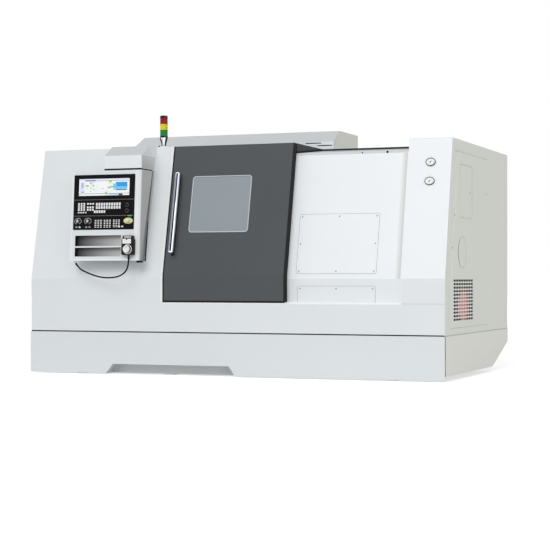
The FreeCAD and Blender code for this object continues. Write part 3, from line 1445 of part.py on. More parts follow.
def turret_disc():
    """Twelve-sided disc with a hub, and a tool holder with its tool on every other face."""
    points = []
    for i in range(STATIONS):
        angle = math.radians(360.0 * i / STATIONS)
        points.append((DISC_RADIUS * math.cos(angle), DISC_RADIUS * math.sin(angle)))
    disc = prism_x(points, DISC_X)
    hub = between((DISC_X[1], DISC_X[1] + HUB_LENGTH), 0, 0, HUB_RADIUS)
    boss = between((DISC_X[0] - LIP, DISC_X[0]), 0, 0, DISC_BOSS)
    whole = disc.fuse(hub).fuse(boss)
    flat = DISC_RADIUS * math.cos(math.pi / STATIONS)
    width, height, length = HOLDER
    middle = sum(DISC_X) / 2
    for i in range(0, STATIONS, 2):
        holder = block(
            (middle - length / 2, middle + length / 2), (flat, flat + height), (-width / 2, width / 2))
        tool = block(
            (DISC_X[0] - TOOL[0], middle), (flat + height / 2, flat + height / 2 + TOOL[1] / 2),
            (-TOOL[2] / 2, TOOL[2] / 2))
        pair = holder.fuse(tool)
        pair.rotate(Vector(0, 0, 0), Vector(1, 0, 0), station(i))
        whole = whole.fuse(pair)
    whole.translate(Vector(0, TURRET_V, SWING))
    return on_bed(whole.removeSplitter())


def tailstock():
    """Cast tailstock on its own ways, with a barrel bored for the quill."""
    low = TAIL_WAY_HEIGHT + SLIDE_GAP
    base_top = low + TAIL_BASE
    base = block(TAIL_X, TAIL_V, (low, base_top))
    first = TAIL_WAYS[0] - TAIL_WAY_WIDTH / 2 - SLIDE_GAP
    lip = block(TAIL_X, (first - LIP, first), (low - TAIL_HOOK, base_top))
    barrel = between(TAIL_X, 0, SWING, TAIL_BARREL)
    inset = (TAIL_X[0] + FRAME_WALL, TAIL_X[1] - FRAME_WALL)
    web = prism_x(
        [(TAIL_V[0] + FRAME_WALL, base_top), (TAIL_V[1], base_top), (TAIL_WEB, SWING),
         (-TAIL_WEB, SWING)], inset)
    bore = between(TAIL_X, 0, SWING, QUILL_RADIUS + RUNNING)
    return on_bed(base.fuse(lip).fuse(barrel).fuse(web).cut(bore).removeSplitter())


def quill():
    """Sliding sleeve bored for the live centre."""
    socket = (QUILL_X[0], CENTRE_X[1] + SHEET)
    return round_x(QUILL_X, QUILL_RADIUS).cut(round_x(socket, CENTRE_SHANK + RUNNING))


def live_centre():
    """Pointed centre with a round body and a shank in the quill."""
    taper = CENTRE_HEAD * math.sqrt(3)
    tip = Vector(CENTRE_X[0], SPINDLE_Y, SPINDLE_Z)
    point = Part.makeCone(CENTRE_TIP, CENTRE_HEAD, taper, tip, Vector(1, 0, 0))
    head = round_x((CENTRE_X[0] + taper, QUILL_X[0] - SLIDE_GAP), CENTRE_HEAD)
    shank = round_x((QUILL_X[0] - SLIDE_GAP, CENTRE_X[1]), CENTRE_SHANK)
    return point.fuse(head).fuse(shank).removeSplitter()


def make_carriage():
    save("screw_supports", *screw_supports())
    save("long_screw", long_screw())
    save("saddle", saddle())
    save("cross_slide", cross_slide())
    save("turret_housing", turret_housing())
    save("turret_disc", turret_disc())
    save("tailstock", tailstock())
    save("quill", quill())
    save("live_centre", live_centre())


def main():
    os.makedirs("parts", exist_ok=True)
    make_base()
    make_enclosure()
    make_door()
    make_tower()
    make_gauges()
    make_pendant()
    make_spindle()
    make_carriage()


main()
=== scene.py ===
"""Finishes, trim, controls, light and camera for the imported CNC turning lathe.

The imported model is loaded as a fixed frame. Each operator adds one group of pieces or paints the
model's own nodes. All sizes are in metres: X runs to the right, Y to the rear and Z up from
the floor.
"""

import json
from math import atan2, cos, pi, radians, sin, tau

import bmesh
import bpy
import numpy as np
from bpy.props import FloatProperty, FloatVectorProperty, PointerProperty
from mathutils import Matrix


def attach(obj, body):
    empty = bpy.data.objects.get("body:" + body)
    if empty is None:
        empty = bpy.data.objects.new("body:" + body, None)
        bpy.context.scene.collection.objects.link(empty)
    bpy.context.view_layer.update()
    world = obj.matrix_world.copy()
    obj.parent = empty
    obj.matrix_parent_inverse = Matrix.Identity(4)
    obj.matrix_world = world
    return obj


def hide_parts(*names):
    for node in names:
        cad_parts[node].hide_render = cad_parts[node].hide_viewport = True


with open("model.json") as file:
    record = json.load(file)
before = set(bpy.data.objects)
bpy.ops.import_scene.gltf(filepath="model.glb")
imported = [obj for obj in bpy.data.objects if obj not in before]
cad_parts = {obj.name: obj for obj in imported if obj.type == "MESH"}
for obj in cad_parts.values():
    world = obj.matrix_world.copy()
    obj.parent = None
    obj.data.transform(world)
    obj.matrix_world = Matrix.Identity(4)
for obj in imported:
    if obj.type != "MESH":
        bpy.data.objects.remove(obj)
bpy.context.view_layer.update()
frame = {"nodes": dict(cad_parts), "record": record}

bl_info = {
    "name": "Turning lathe dressing",
    "version": (1, 0, 0),
    "blender": (4, 5, 0),
    "location": "3D View > Sidebar > Lathe",
    "description": "Finishes, trim, controls, light and camera for an enclosed CNC turning lathe",
    "category": "Object",
}

# Y of the front sheet in the row frame
FRONT = -1.0765
# How far a thin facing, and a thicker strip, stand out of the sheet that they lie on
FACING = 0.0006
TRIM = 0.0012


def leaning(y, z, run, rise):
    """A face through (y, z) behind the front sheet that leans back by run over rise."""
    back = atan2(run, rise)
    return (0, FRONT + y, z), (1, 0, 0), (0, -cos(back), sin(back)), (0, sin(back), cos(back))


def facing_right(x):
    """An upright face across the row at x, which looks to the right."""
    return (x, FRONT, 0), (0, 1, 0), (1, 0, 0), (0, 0, 1)


# Each face: its origin, then the directions across it, out of it and up it
FACES = {
    "front": leaning(0, 0.860, 0.254, 1.195),
    "apron": leaning(0, 0, 0, 1),
    "fixed": leaning(0.080, 0.860, 0.254, 1.195),
    "door": leaning(0, 0.890, 0.254, 1.165),
    "pendant": leaning(-0.118, 1.022, 0.054, 0.810),
    "arm_slope": leaning(-0.060, 1.963, 0.155, 0.092),
    "floor": ((0, FRONT, 0), (1, 0, 0), (0, 0, 1), (0, 1, 0)),
    "fixed_foot": leaning(0.080, 0, 0, 1),
    "fixed_roof": leaning(0.315, 1.965, 0.659, 0.069),
    "cover_front": leaning(1.045, 0, 0, 1),
    "tower": leaning(0.300, 0, 0, 1),
    "rear": ((0, FRONT + 2.328, 0), (-1, 0, 0), (0, 1, 0), (0, 0, 1)),
    "left": ((-1.960, FRONT, 0), (0, -1, 0), (-1, 0, 0), (0, 0, 1)),
    "right": facing_right(1.960),
    "door_side": facing_right(0.529),
    "pendant_side": facing_right(-0.801),
    "arm_side": facing_right(-0.804),
    "wall_side": facing_right(-0.6435),
    "cover_side": facing_right(0.622),
}


def up_to(face, height):
    """The distance up a face at which it is at a height above the floor."""
    origin, _, _, up = FACES[face]
    return (height - origin[2]) / up[2]


# ---- sizes and colours that a user would change ----


def colour(name, description, default):
    """A linear colour in the settings panel."""
    return FloatVectorProperty(
        name=name, description=description, default=default, size=3, min=0, max=1, subtype="COLOR")


def length(name, description, default):
    """A length in metres in the settings panel."""
    return FloatProperty(name=name, description=description, default=default, min=0, unit="LENGTH")


def amount(name, description, default):
    """A plain number in the settings panel."""
    return FloatProperty(name=name, description=description, default=default, min=0)


class LatheColours(bpy.types.PropertyGroup):
    """Paints and plastics of the machine, as linear colours."""

    white: colour("Cabinet white", "Powder coat of the cabinet", (0.83, 0.868, 0.882))
    # Painted light: a lighter copy of the cabinet white, for the stronger light on the fixed panel,
    # column, covers and arm box
    panel: colour("Panel white", "Powder coat of the fixed panel and column", (0.925, 0.96, 0.98))
    warm: colour("End white", "Powder coat of the ends", (0.905, 0.925, 0.85))
    # Painted shade: a grey that stands in for the shade on the raised rear cover's top
    cover: colour("Cover grey", "Powder coat of the raised rear cover", (0.613, 0.646, 0.665))
    dark: colour("Door grey", "Satin coat of the sliding door", (0.096, 0.104, 0.109))
    black: colour("Panel black", "Operator panel and its trim", (0.0075, 0.007, 0.0078))
    window: colour("Window grey", "Frosted pane of the door", (0.325, 0.368, 0.402))
    red: colour("Unit red", "Enamel of the hydraulic unit", (0.98, 0.17, 0.14))
    casting: colour("Casting grey", "Painted castings inside the machine", (0.36, 0.39, 0.40))


class LatheSizes(bpy.types.PropertyGroup):
    """Trim and fasteners of the machine."""

    handle_radius: length("Handle radius", "Round bar of the door handle", 0.0245)
    trim_width: length("Window trim", "Width of the trim round the window", 0.008)
    screw_radius: length("Screw radius", "Button heads on the covers", 0.0052)
    key_height: length("Key height", "Keys above the operator panel", 0.003)
    cable_diameter: length("Cable diameter", "Cable of the handwheel unit", 0.014)


class LatheStudio(bpy.types.PropertyGroup):
    """Light and camera."""

    ambient: amount("Ambient", "Light from all round", 0.73)
    overhead: amount("Overhead", "Light from straight above", 0.33)
    key: amount("Key", "Strength of the soft key light", 1.14)
    near: amount("Near light", "Strength of the light at the right", 20)
    floor_glow: amount("Floor white", "Added to the floor where it is seen", 0.66)
    lens: FloatProperty(
        name="Lens", description="Focal length", default=102.1, min=1, unit="CAMERA")


# ---- surfaces ----


def skin(rings, closed=False):
    """Rings of points joined by four-sided faces.

    Point i of ring j joins point i + 1 and the same two points of ring j + 1. The end rings are
    capped by one face each, or joined to each other when closed.
    """
    count, sides = rings.shape[:2]
    ring = np.arange(count if closed else count - 1)[:, None] * sides
    after = (ring + sides) % (count * sides)
    side = np.arange(sides)
    following = (side + 1) % sides
    quads = np.stack([ring + side, ring + following, after + following, after + side], axis=-1)
    faces = [quads.reshape(-1, 4)]
    if not closed:
        faces += [side[None, ::-1], side[None] + (count - 1) * sides]
    return rings.reshape(-1, 3), faces


def tiled(shape, places, out=0):
    """Copies of one shape, each moved to its own place (across, up), and all of them out."""
    points, faces = shape
    offsets = np.insert(np.array(places, float), 1, out, axis=1)
    moved = (points[None] + offsets[:, None]).reshape(-1, 3)
    shift = np.arange(len(offsets))[:, None, None] * len(points)
    return moved, [(block[None] + shift).reshape(-1, block.shape[1]) for block in faces]


def rounded(x, z, radius, steps=4):
    """A rectangle's outline with quarter circles of a radius at its corners, anticlockwise."""
    quarter = np.arange(4)[:, None] * pi / 2 - pi / 2 + np.linspace(0, pi / 2, steps)[None]
    middles = np.array([
        (x[1] - radius, z[0] + radius), (x[1] - radius, z[1] - radius),
        (x[0] + radius, z[1] - radius), (x[0] + radius, z[0] + radius)])
    circle = radius * np.stack([np.cos(quarter), np.sin(quarter)], axis=-1)
    return (middles[:, None] + circle).reshape(-1, 2)


def arc(x, z, wide, tall, turn):
    """The points of an oval about (x, z), from its half width and half height, at some angles."""
    return np.stack([x + wide * np.cos(turn), z + tall * np.sin(turn)], axis=-1)


def ellipse(x, z, wide, tall, sides=48):
    """The outline of a whole oval, anticlockwise."""
    return arc(x, z, wide, tall, np.arange(sides) * tau / sides)


def moulded(outline, profile, closed=False):
    """An outline drawn once for each (inset, height) of a profile.

    A corner moves along the sum of its two edges' inward normals over one plus their dot product,
    so every edge stays parallel to itself.
    """
    outline = np.asarray(outline, float)
    ahead = np.roll(outline, -1, axis=0) - outline
    ahead /= np.linalg.norm(ahead, axis=1)[:, None]
    inward = np.stack([-ahead[:, 1], ahead[:, 0]], axis=1)
    before = np.roll(inward, 1, axis=0)
    mitre = (inward + before) / (1 + (inward * before).sum(axis=1))[:, None]
    inset, height = np.array(profile, float).T
    flat = outline[None] + mitre[None] * inset[:, None, None]
    out = np.broadcast_to(height[:, None], flat.shape[:2])
    return skin(np.stack([flat[..., 0], out, flat[..., 1]], axis=-1), closed)


def crown(outline, base, top, edge):
    """A raised pad: straight sides, then a quarter-round edge up to its flat top."""
    turn = np.linspace(0, pi / 2, 3)
    round_edge = [(edge * (1 - cos(a)), top - edge + edge * sin(a)) for a in turn]
    return moulded(outline, [(0, base)] + round_edge)


def slab(outline, low=0, high=FACING):
    """An outline drawn out from one height to another."""
    return moulded(outline, [(0, low), (0, high)])


def strip(x, z, low=0, high=FACING):
    """A slab with sharp corners between two places across and two places up."""
    return slab([(x[0], z[0]), (x[1], z[0]), (x[1], z[1]), (x[0], z[1])], low, high)


def strips(places, *look, low=0, high=FACING):
    """Parts for a piece: a strip at each place (across, up), all with the same finish and tint."""
    return [(strip(x, z, low, high), *look) for x, z in places]


def band(outline, width, low, high):
    """A flat band of a width round the outside of an outline."""
    return moulded(outline, [(0, low), (0, high), (-width, high), (-width, low)], closed=True)


def graded(shape, axis, span, greys):
    """Each point's grey, which runs evenly from the first to the second over a span of an axis."""
    share = (shape[0][:, axis] - span[0]) / (span[1] - span[0])
    return (greys[0] + (greys[1] - greys[0]) * share)[:, None]


def turned(x, z, profile, sides=32):
    """A profile of (radius, height) turned about the line through (x, z) out of the face."""
    radius, height = np.array(profile, float).T
    turn = np.arange(sides) * tau / sides
    across = x + radius[:, None] * np.cos(turn)
    up = z + radius[:, None] * np.sin(turn)
    out = np.broadcast_to(height[:, None], across.shape)
    return skin(np.stack([across, out, up], axis=-1))


def swept(path, radii, sides=20):
    """Circles of the given radii across a path.

    Each circle's axes are the path's direction crossed with X, and that crossed again with it.
    """
    path = np.asarray(path, float)
    along = np.gradient(path, axis=0)
    along /= np.linalg.norm(along, axis=1)[:, None]
    first = np.cross(along, (1.0, 0.0, 0.0))
    first /= np.linalg.norm(first, axis=1)[:, None]
    second = np.cross(along, first)
    turn = np.arange(sides) * tau / sides
    ring = (first[:, None] * np.cos(turn)[None, :, None]
            + second[:, None] * np.sin(turn)[None, :, None])
    return skin(path[:, None] + np.asarray(radii, float)[:, None, None] * ring)


def added(name, data, at=(0, 0, 0), turn=(0, 0, 0)):
    """An object of the scene made from its data."""
    made = bpy.data.objects.new(name, data)
    made.location = at
    made.rotation_euler = turn
    bpy.context.scene.collection.objects.link(made)
    return made


def piece(name, parts, face, body, stands_for=()):
    """One object from shapes given in a face's own directions.

    Each part is a shape, its finish and, where the finish is tinted, its colour or each point's.
    """
    origin, *axes = FACES[face]
    finishes, points, polygons, index, tints = [], [], [], [], []
    start = 0
    for (shape_points, blocks), finish_name, *tint in parts:
        if finish_name not in finishes:
            finishes.append(finish_name)
        for block in blocks:
            polygons += (block + start).tolist()
            index += [finishes.index(finish_name)] * len(block)
        points.append(shape_points)
        shade = np.ones((len(shape_points), 4), np.float32)
        shade[:, :3] = tint[0] if tint else 1
        tints.append(shade)
        start += len(shape_points)
    mesh = bpy.data.meshes.new(name)
    placed = np.array(origin) + np.concatenate(points) @ np.array(axes, float)
    mesh.from_pydata(placed, [], polygons)
    mesh.polygons.foreach_set("material_index", index)
    tint_layer = mesh.attributes.new("tint", "FLOAT_COLOR", "POINT")
    tint_layer.data.foreach_set("color", np.concatenate(tints).ravel())
    for finish_name in finishes:
        mesh.materials.append(finish(finish_name))
    shell = bmesh.new()
    shell.from_mesh(mesh)
    bmesh.ops.recalc_face_normals(shell, faces=shell.faces)
    shell.to_mesh(mesh)
    shell.free()
    mesh.polygons.foreach_set("use_smooth", [True] * len(mesh.polygons))
    mesh.set_sharp_from_angle(angle=radians(38))
    made = added(name, mesh)
    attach(made, body)
    if stands_for:
        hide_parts(*stands_for)
    return made


# ---- finishes ----


def coat(base, rough=(0.36, 0.46), grain=(420, 6e-5), drift=0.02, stretch=(1, 1, 1), metallic=0,
         specular=0.5, clear=0, glow=0):
    """One row of the finishes.

    A colour, its name in LatheColours, or None for the piece's own tint; lowest and highest
    roughness; grain per metre and its depth; share by which the colour drifts; and grain stretch.
    """
    sockets = {
        "Metallic": metallic, "Specular IOR Level": specular, "Coat Weight": clear,
        "Emission Strength": glow}
    return base, rough, grain, drift, stretch, sockets


FINISHES = {
    "white_paint": coat("white", (0.34, 0.44)),
    # Painted light: the lighter copy of the white for the fixed panel, column, covers and arm box
    "panel_paint": coat("panel", (0.30, 0.40)),
    "warm_paint": coat("warm"),
    # Painted shade: a darker copy of the cabinet white for the plinth
    "plinth_paint": coat((0.800, 0.838, 0.853), (0.34, 0.44)),
    # Painted light: a lighter copy of the end white, which lifts the shaded end skirts
    "skirt_paint": coat((0.955, 0.97, 0.895)),
    "end_paint": coat((0.73, 0.735, 0.66)),
    # Brightest glossy white, also used for painted highlights along edges
    "gloss_white": coat((0.985, 0.99, 0.995), (0.16, 0.24), (420, 2e-5), 0.01, specular=0.9),
    # Painted shade: the cover grey stands in for the shade on the raised cover
    "grey_paint": coat("cover"),
    "dark_paint": coat("dark", (0.38, 0.50), (600, 8e-5), 0.04, specular=0.15),
    "dark_rail": coat((0.035, 0.035, 0.04), (0.30, 0.45), (500, 6e-5), 0.10),
    "chamber_steel": coat((0.58, 0.60, 0.61), (0.35, 0.50), (300, 8e-5), 0.06),
    "red_paint": coat("red", (0.22, 0.35), (260, 8e-5), 0.08, clear=0.4),
    "rubber": coat((0.014, 0.014, 0.015), (0.65, 0.80), (700, 1e-4), 0.15, specular=0.15),
    # Tinted by each piece: used for seam lines and for painted shade facings
    "seam": coat(None, (0.50, 0.60), (700, 2e-5), 0.03, specular=0.2),
    "window": coat("window", (0.30, 0.38), (90, 2e-5), 0.03, stretch=(1, 1, 0.4), specular=0.25),
    "window_trim": coat((0.62, 0.65, 0.68), (0.30, 0.42), (500, 4e-5), 0.05),
    "chrome": coat((0.95, 0.955, 0.965), (0.02, 0.05), (350, 1e-5), 0.03,
        stretch=(1, 1, 0.05), metallic=1),
    "grey_plastic": coat((0.60, 0.61, 0.62), (0.30, 0.42), (700, 4e-5), 0.03),
    "red_lens": coat((0.36, 0.004, 0.010), (0.10, 0.16), (300, 1e-4), 0.10,
        stretch=(1, 1, 0.02), specular=0.3),
    "yellow_lens": coat((0.80, 0.74, 0.015), (0.16, 0.24), (300, 1e-4), 0.06,
        stretch=(1, 1, 0.02), specular=0.3),
    "green_lens": coat((0.008, 0.27, 0.05), (0.10, 0.16), (300, 1e-4), 0.10,
        stretch=(1, 1, 0.02), specular=0.3),
    "gauge_face": coat((0.94, 0.95, 0.95), (0.28, 0.34), (600, 2e-5)),
    "panel_black": coat("black", (0.40, 0.55), (1500, 5e-5), 0.25, specular=0.08),
    "screen_glass": coat((0.012, 0.014, 0.016), (0.10, 0.16), (300, 5e-6), 0.10, specular=0.2),
    "display": coat(None, (0.18, 0.26), (900, 5e-6), 0.03, glow=0.22, specular=0.2),
    "key_cap": coat(None, (0.30, 0.42), (1200, 2e-5), 0.03),
    "knob_black": coat((0.014, 0.014, 0.015), (0.32, 0.46), (900, 5e-5), 0.20, specular=0.2),
    "estop": coat((0.80, 0.80, 0.36), (0.20, 0.30), (500, 3e-5), 0.04, clear=0.4),
    "gloss_black": coat((0.012, 0.012, 0.013), (0.10, 0.18), (600, 1e-5), 0.10, specular=0.6),
    "gauge_rim": coat((0.05, 0.052, 0.055), (0.16, 0.26), (600, 1e-5), 0.10),
    "white_plastic": coat((0.94, 0.94, 0.93), (0.26, 0.36), (600, 3e-5)),
    "cable_black": coat((0.008, 0.008, 0.009), (0.45, 0.60), (900, 5e-5), 0.20, specular=0.1),
    "casting": coat("casting", (0.40, 0.58), (220, 3e-4), 0.07),
    "ground_steel": coat((0.60, 0.61, 0.62), (0.18, 0.34), (260, 3e-5), 0.06,
        stretch=(0.03, 1, 1), metallic=1),
    "pulley_iron": coat((0.16, 0.16, 0.17), (0.35, 0.55), (400, 1e-4), 0.12, metallic=0.8),
    "motor_grey": coat((0.20, 0.22, 0.25), (0.30, 0.45), (260, 2e-4), 0.08),
    "frame_steel": coat((0.33, 0.34, 0.35), (0.45, 0.62), (200, 2e-4), 0.08),
    "zinc": coat((0.62, 0.61, 0.57), (0.28, 0.45), (300, 6e-5), 0.10, metallic=1),
}

# Broad drift per metre of a colour and of its gloss
DRIFT_SCALE = 2.2


def graph(collection, name):
    """A new material or world and its node tree."""
    made = collection.new(name)
    made.use_nodes = True
    return made, made.node_tree


def wire(tree, node, values):
    """Sets a node's inputs, each to a plain value or to another node's output, and returns it."""
    if isinstance(node, str):
        node = tree.nodes.new("ShaderNode" + node)
    for socket, value in values.items():
        if isinstance(value, bpy.types.NodeSocket):
            tree.links.new(value, node.inputs[socket])
        else:
            node.inputs[socket].default_value = value
    return node


def finish(name):
    """The named finish: one shader whose fine noise lifts it and whose broad noise drifts its look.

    Colour is c (1 - d) to c (1 + d) over the broad noise, roughness runs between its two values
    over the same noise, and the bump's height is the fine noise times the grain's depth. A tinted
    piece's own colour is multiplied by 1 - d to 1, and also glows where the finish does.
    """
    own_name = "lathe_" + name
    if own_name in bpy.data.materials:
        return bpy.data.materials[own_name]
    base, rough, (grain, depth), drift, stretch, sockets = FINISHES[name]
    if isinstance(base, str):
        base = tuple(getattr(bpy.context.scene.lathe_colours, base))
    made, tree = graph(bpy.data.materials, own_name)
    shader = wire(tree, tree.nodes["Principled BSDF"], sockets)
    place = tree.nodes.new("ShaderNodeTexCoord").outputs["Object"]
    lie = wire(tree, "Mapping", {"Vector": place, "Scale": stretch})
    fine = wire(tree, "TexNoise", {"Vector": lie.outputs["Vector"], "Scale": grain, "Detail": 2})
    bump = wire(tree, "Bump", {"Height": fine.outputs["Fac"], "Distance": depth})
    noise = wire(tree, "TexNoise", {"Vector": place, "Scale": DRIFT_SCALE, "Detail": 4})
    broad = noise.outputs["Fac"]
    gloss = wire(tree, "MapRange", {"Value": broad, "To Min": rough[0], "To Max": rough[1]})
    shade = tree.nodes.new("ShaderNodeMix")
    shade.data_type = "RGBA"
    if base is None:
        shade.blend_type = "MULTIPLY"
        tint = tree.nodes.new("ShaderNodeAttribute")
        tint.attribute_name = "tint"
        level = wire(tree, "MapRange", {"Value": broad, "To Min": 1 - drift})
        wire(tree, shade, {"Factor": 1, "A": tint.outputs["Color"], "B": level.outputs["Result"]})
        if sockets["Emission Strength"]:
            wire(tree, shader, {"Emission Color": tint.outputs["Color"]})
    else:
        low, high = ((*(min(1, c * part) for c in base), 1) for part in (1 - drift, 1 + drift))
        wire(tree, shade, {"Factor": broad, "A": low, "B": high})
    wire(tree, shader, {
        "Base Color": shade.outputs["Result"], "Roughness": gloss.outputs["Result"],
        "Normal": bump.outputs["Normal"]})
    return made


# Nodes whose finish isn't the one that their slot names; the panel, plinth and skirt finishes are
# lighter or darker copies of the white, as painted light and shade
OWN_FINISH = {
    "fixed_panel": "panel_paint",
    "right_column": "panel_paint",
    "inspection_covers": "panel_paint",
    "arm_box": "panel_paint",
    "right_end_panel": "warm_paint",
    "left_end_panel": "warm_paint",
    "right_service_panel": "warm_paint",
    "base_front_panel": "plinth_paint",
    "end_skirts": "skirt_paint",
    "lower_rail": "gloss_white",
}


class LATHE_OT_finishes(bpy.types.Operator):
    """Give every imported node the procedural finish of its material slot"""

    bl_idname = "lathe.finishes"
    bl_label = "Paint and metal"

    def execute(self, context):
        slots = {part["node"]: part["material_slot"] for part in frame["record"]["subparts"]}
        for name, node in frame["nodes"].items():
            material = finish(OWN_FINISH.get(name, slots[name]))
            node.data.materials.clear()
            node.data.materials.append(material)
        return {"FINISHED"}


# ---- stage and camera ----

CAMERA_AT = (5.321, -13.646, 0.860)
CAMERA_TURN = atan2(0.3616, 0.9323)
CAMERA_RISE = 0.0069
FLOOR_REACH = 60
FLOOR_GREY = (0.66, 0.66, 0.66, 1)
KEY_ANGLE = radians(35)
KEY_TURN = (radians(50), 0, radians(-3))
NEAR_SIZE = 2.5
NEAR_AT = (3.2, -5.0, 2.8)
NEAR_TURN = (radians(68), 0, radians(14))
# Cards before the machine: their three lower corners, how tall they are, and their two colours
CARD_CORNERS = np.array([(2.3, -5.1, 1.6), (-3.3, -5.1, 1.6), (-9.0, -1.0, 1.6)])
CARD_TALL = 4
CARD_COLOURS = {"card_dark": (0.012, 0.022, 0.060, 1), "card_pale": (0.42, 0.47, 0.62, 1)}


class LATHE_OT_camera(bpy.types.Operator):
    """Set the camera level at the photograph's angle"""

    bl_idname = "lathe.camera"
    bl_label = "Camera"

    def execute(self, context):
        view = bpy.data.cameras.new("camera")
        view.lens = context.scene.lathe_studio.lens
        view.shift_y = CAMERA_RISE
        view.clip_end = 200
        context.scene.camera = added("camera", view, CAMERA_AT, (pi / 2, 0, CAMERA_TURN))
        return {"FINISHED"}


def maths(tree, operation, *values):
    """The output of a node that joins two values by an operation."""
    node = tree.nodes.new("ShaderNodeMath")
    node.operation = operation
    return wire(tree, node, dict(enumerate(values))).outputs[0]


def seen_rays(tree):
    """One where a camera, glossy or transmission ray looks, and nought for the light's own rays."""
    rays = tree.nodes.new("ShaderNodeLightPath").outputs
    shown = maths(tree, "MAXIMUM", rays["Is Camera Ray"], rays["Is Glossy Ray"])
    return maths(tree, "MAXIMUM", shown, rays["Is Transmission Ray"])


class LATHE_OT_stage(bpy.types.Operator):
    """Add the pale floor, the white surroundings and the soft studio light"""

    bl_idname = "lathe.stage"
    bl_label = "Studio"

    def execute(self, context):
        studio = context.scene.lathe_studio
        self.floor(studio)
        context.scene.world = self.surroundings(studio)
        self.lamps(studio)
        self.cards()
        context.scene.view_settings.view_transform = "Standard"
        return {"FINISHED"}

    def floor(self, studio):
        """A plain pale floor that shows white where it is seen, and keeps the machine's shadow."""
        corner = FLOOR_REACH * np.array([(-1, -1, 0), (1, -1, 0), (1, 1, 0), (-1, 1, 0)], float)
        mesh = bpy.data.meshes.new("floor")
        mesh.from_pydata(corner, [], [(0, 1, 2, 3)])
        material, tree = graph(bpy.data.materials, "floor_white")
        wire(tree, tree.nodes["Principled BSDF"], {
            "Base Color": FLOOR_GREY, "Roughness": 1, "Specular IOR Level": 0,
            "Emission Color": (1, 1, 1, 1),
            "Emission Strength": maths(tree, "MULTIPLY", seen_rays(tree), studio.floor_glow)})
        mesh.materials.append(material)
        floor = added("floor", mesh)

    def surroundings(self, studio):
        """White where it is looked at, and a grey for the light that it gives, darker overhead.

        The light's strength runs evenly with the direction's z, from ambient at the horizon to
        overhead at the zenith.
        """
        world, tree = graph(bpy.data.worlds, "surroundings")
        direction = tree.nodes.new("ShaderNodeTexCoord").outputs["Generated"]
        parts = wire(tree, "SeparateXYZ", {"Vector": direction})
        fall = wire(tree, "MapRange", {
            "Value": parts.outputs["Z"], "To Min": studio.ambient, "To Max": studio.overhead})
        level = wire(tree, "MapRange", {
            "Value": seen_rays(tree), "To Min": fall.outputs["Result"]})
        wire(tree, tree.nodes["Background"], {
            "Color": (1, 1, 1, 1), "Strength": level.outputs["Result"]})
        return world

    def lamps(self, studio):
        """A broad light from the upper front, a little to the left, and a near one at the right."""
        lamp = bpy.data.lights.new("key", "SUN")
        lamp.energy = studio.key
        lamp.angle = KEY_ANGLE
        added("key", lamp, turn=KEY_TURN)
        lamp = bpy.data.lights.new("near", "AREA")
        lamp.energy = studio.near
        lamp.size = NEAR_SIZE
        added("near", lamp, NEAR_AT, NEAR_TURN)

    def cards(self):
        """Two cards before the machine that only polished metal shows: dark blue and pale blue."""
        points = np.concatenate([CARD_CORNERS, CARD_CORNERS + (0, 0, CARD_TALL)])
        mesh = bpy.data.meshes.new("cards")
        mesh.from_pydata(points, [], [(0, 1, 4, 3), (1, 2, 5, 4)])
        mesh.polygons.foreach_set("material_index", (0, 1))
        for name, shade in CARD_COLOURS.items():
            material, tree = graph(bpy.data.materials, name)
            wire(tree, tree.nodes["Principled BSDF"], {
                "Base Color": (0, 0, 0, 1), "Specular IOR Level": 0, "Emission Color": shade,
                "Emission Strength": 1})
            mesh.materials.append(material)
        cards = added("cards", mesh)
        for ray in ("camera", "diffuse", "transmission", "shadow", "volume_scatter"):
            setattr(cards, "visible_" + ray, False)


# ---- cable ----

# The free cable's route, from the handwheel unit's gland to the pendant's lower left gland
CABLE_ROUTE = (
    (-0.8930, -1.2155, 1.0579),
    (-0.8930, -1.2155, 0.9850),
    (-0.9250, -1.2135, 0.9180),
    (-0.9930, -1.2075, 0.8800),
    (-1.0800, -1.1995, 0.8680),
    (-1.1750, -1.1905, 0.8720),
    (-1.2700, -1.1815, 0.8940),
    (-1.3550, -1.1745, 0.9260),
    (-1.4111, -1.1670, 0.9501),
    (-1.4482, -1.1639, 0.9996),
)
BOOT_LENGTH = 0.026
BOOT_RADII = (0.0105, 0.0100, 0.0104, 0.0090, 0.0095, 0.0082, 0.0086, 0.0074)


class LATHE_OT_cable(bpy.types.Operator):
    """Hang the handwheel unit's cable on its own smooth line, with a tapered boot at each end"""

    bl_idname = "lathe.cable"
    bl_label = "Handwheel cable"

    def execute(self, context):
        diameter = context.scene.lathe_sizes.cable_diameter
        line = bpy.data.curves.new("hand_cable_line", "CURVE")
        line.dimensions = "3D"
        line.resolution_u = 16
        line.bevel_depth = diameter / 2
        line.bevel_resolution = 4
        line.use_fill_caps = True
        spline = line.splines.new("NURBS")
        spline.points.add(len(CABLE_ROUTE) - 1)
        route = np.ones((len(CABLE_ROUTE), 4))
        route[:, :3] = CABLE_ROUTE
        spline.points.foreach_set("co", route.ravel())
        spline.order_u = 3
        spline.use_endpoint_u = True
        line.materials.append(finish("cable_black"))
        cable = added("hand_cable_line", line)
        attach(cable, "pendant")
        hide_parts("hand_cable")
        boots = self.boots()
        return {"FINISHED"}

    def boots(self):
        """Ribbed boots whose radius steps down along the cable from its gland."""
        route = np.array(CABLE_ROUTE)
        share = np.linspace(0, 1, len(BOOT_RADII))[:, None]
        shapes = []
        for start, towards in ((route[0], route[1]), (route[-1], route[-2])):
            along = (towards - start) / np.linalg.norm(towards - start)
            path = start + along * BOOT_LENGTH * share
            local = path - np.array((0, FRONT, 0))
            across_out_up = local * (1, -1, 1)
            shapes.append((swept(across_out_up, BOOT_RADII, 16), "rubber"))
        return piece("cable_boots", shapes, "apron", "pendant")


# ---- door ----

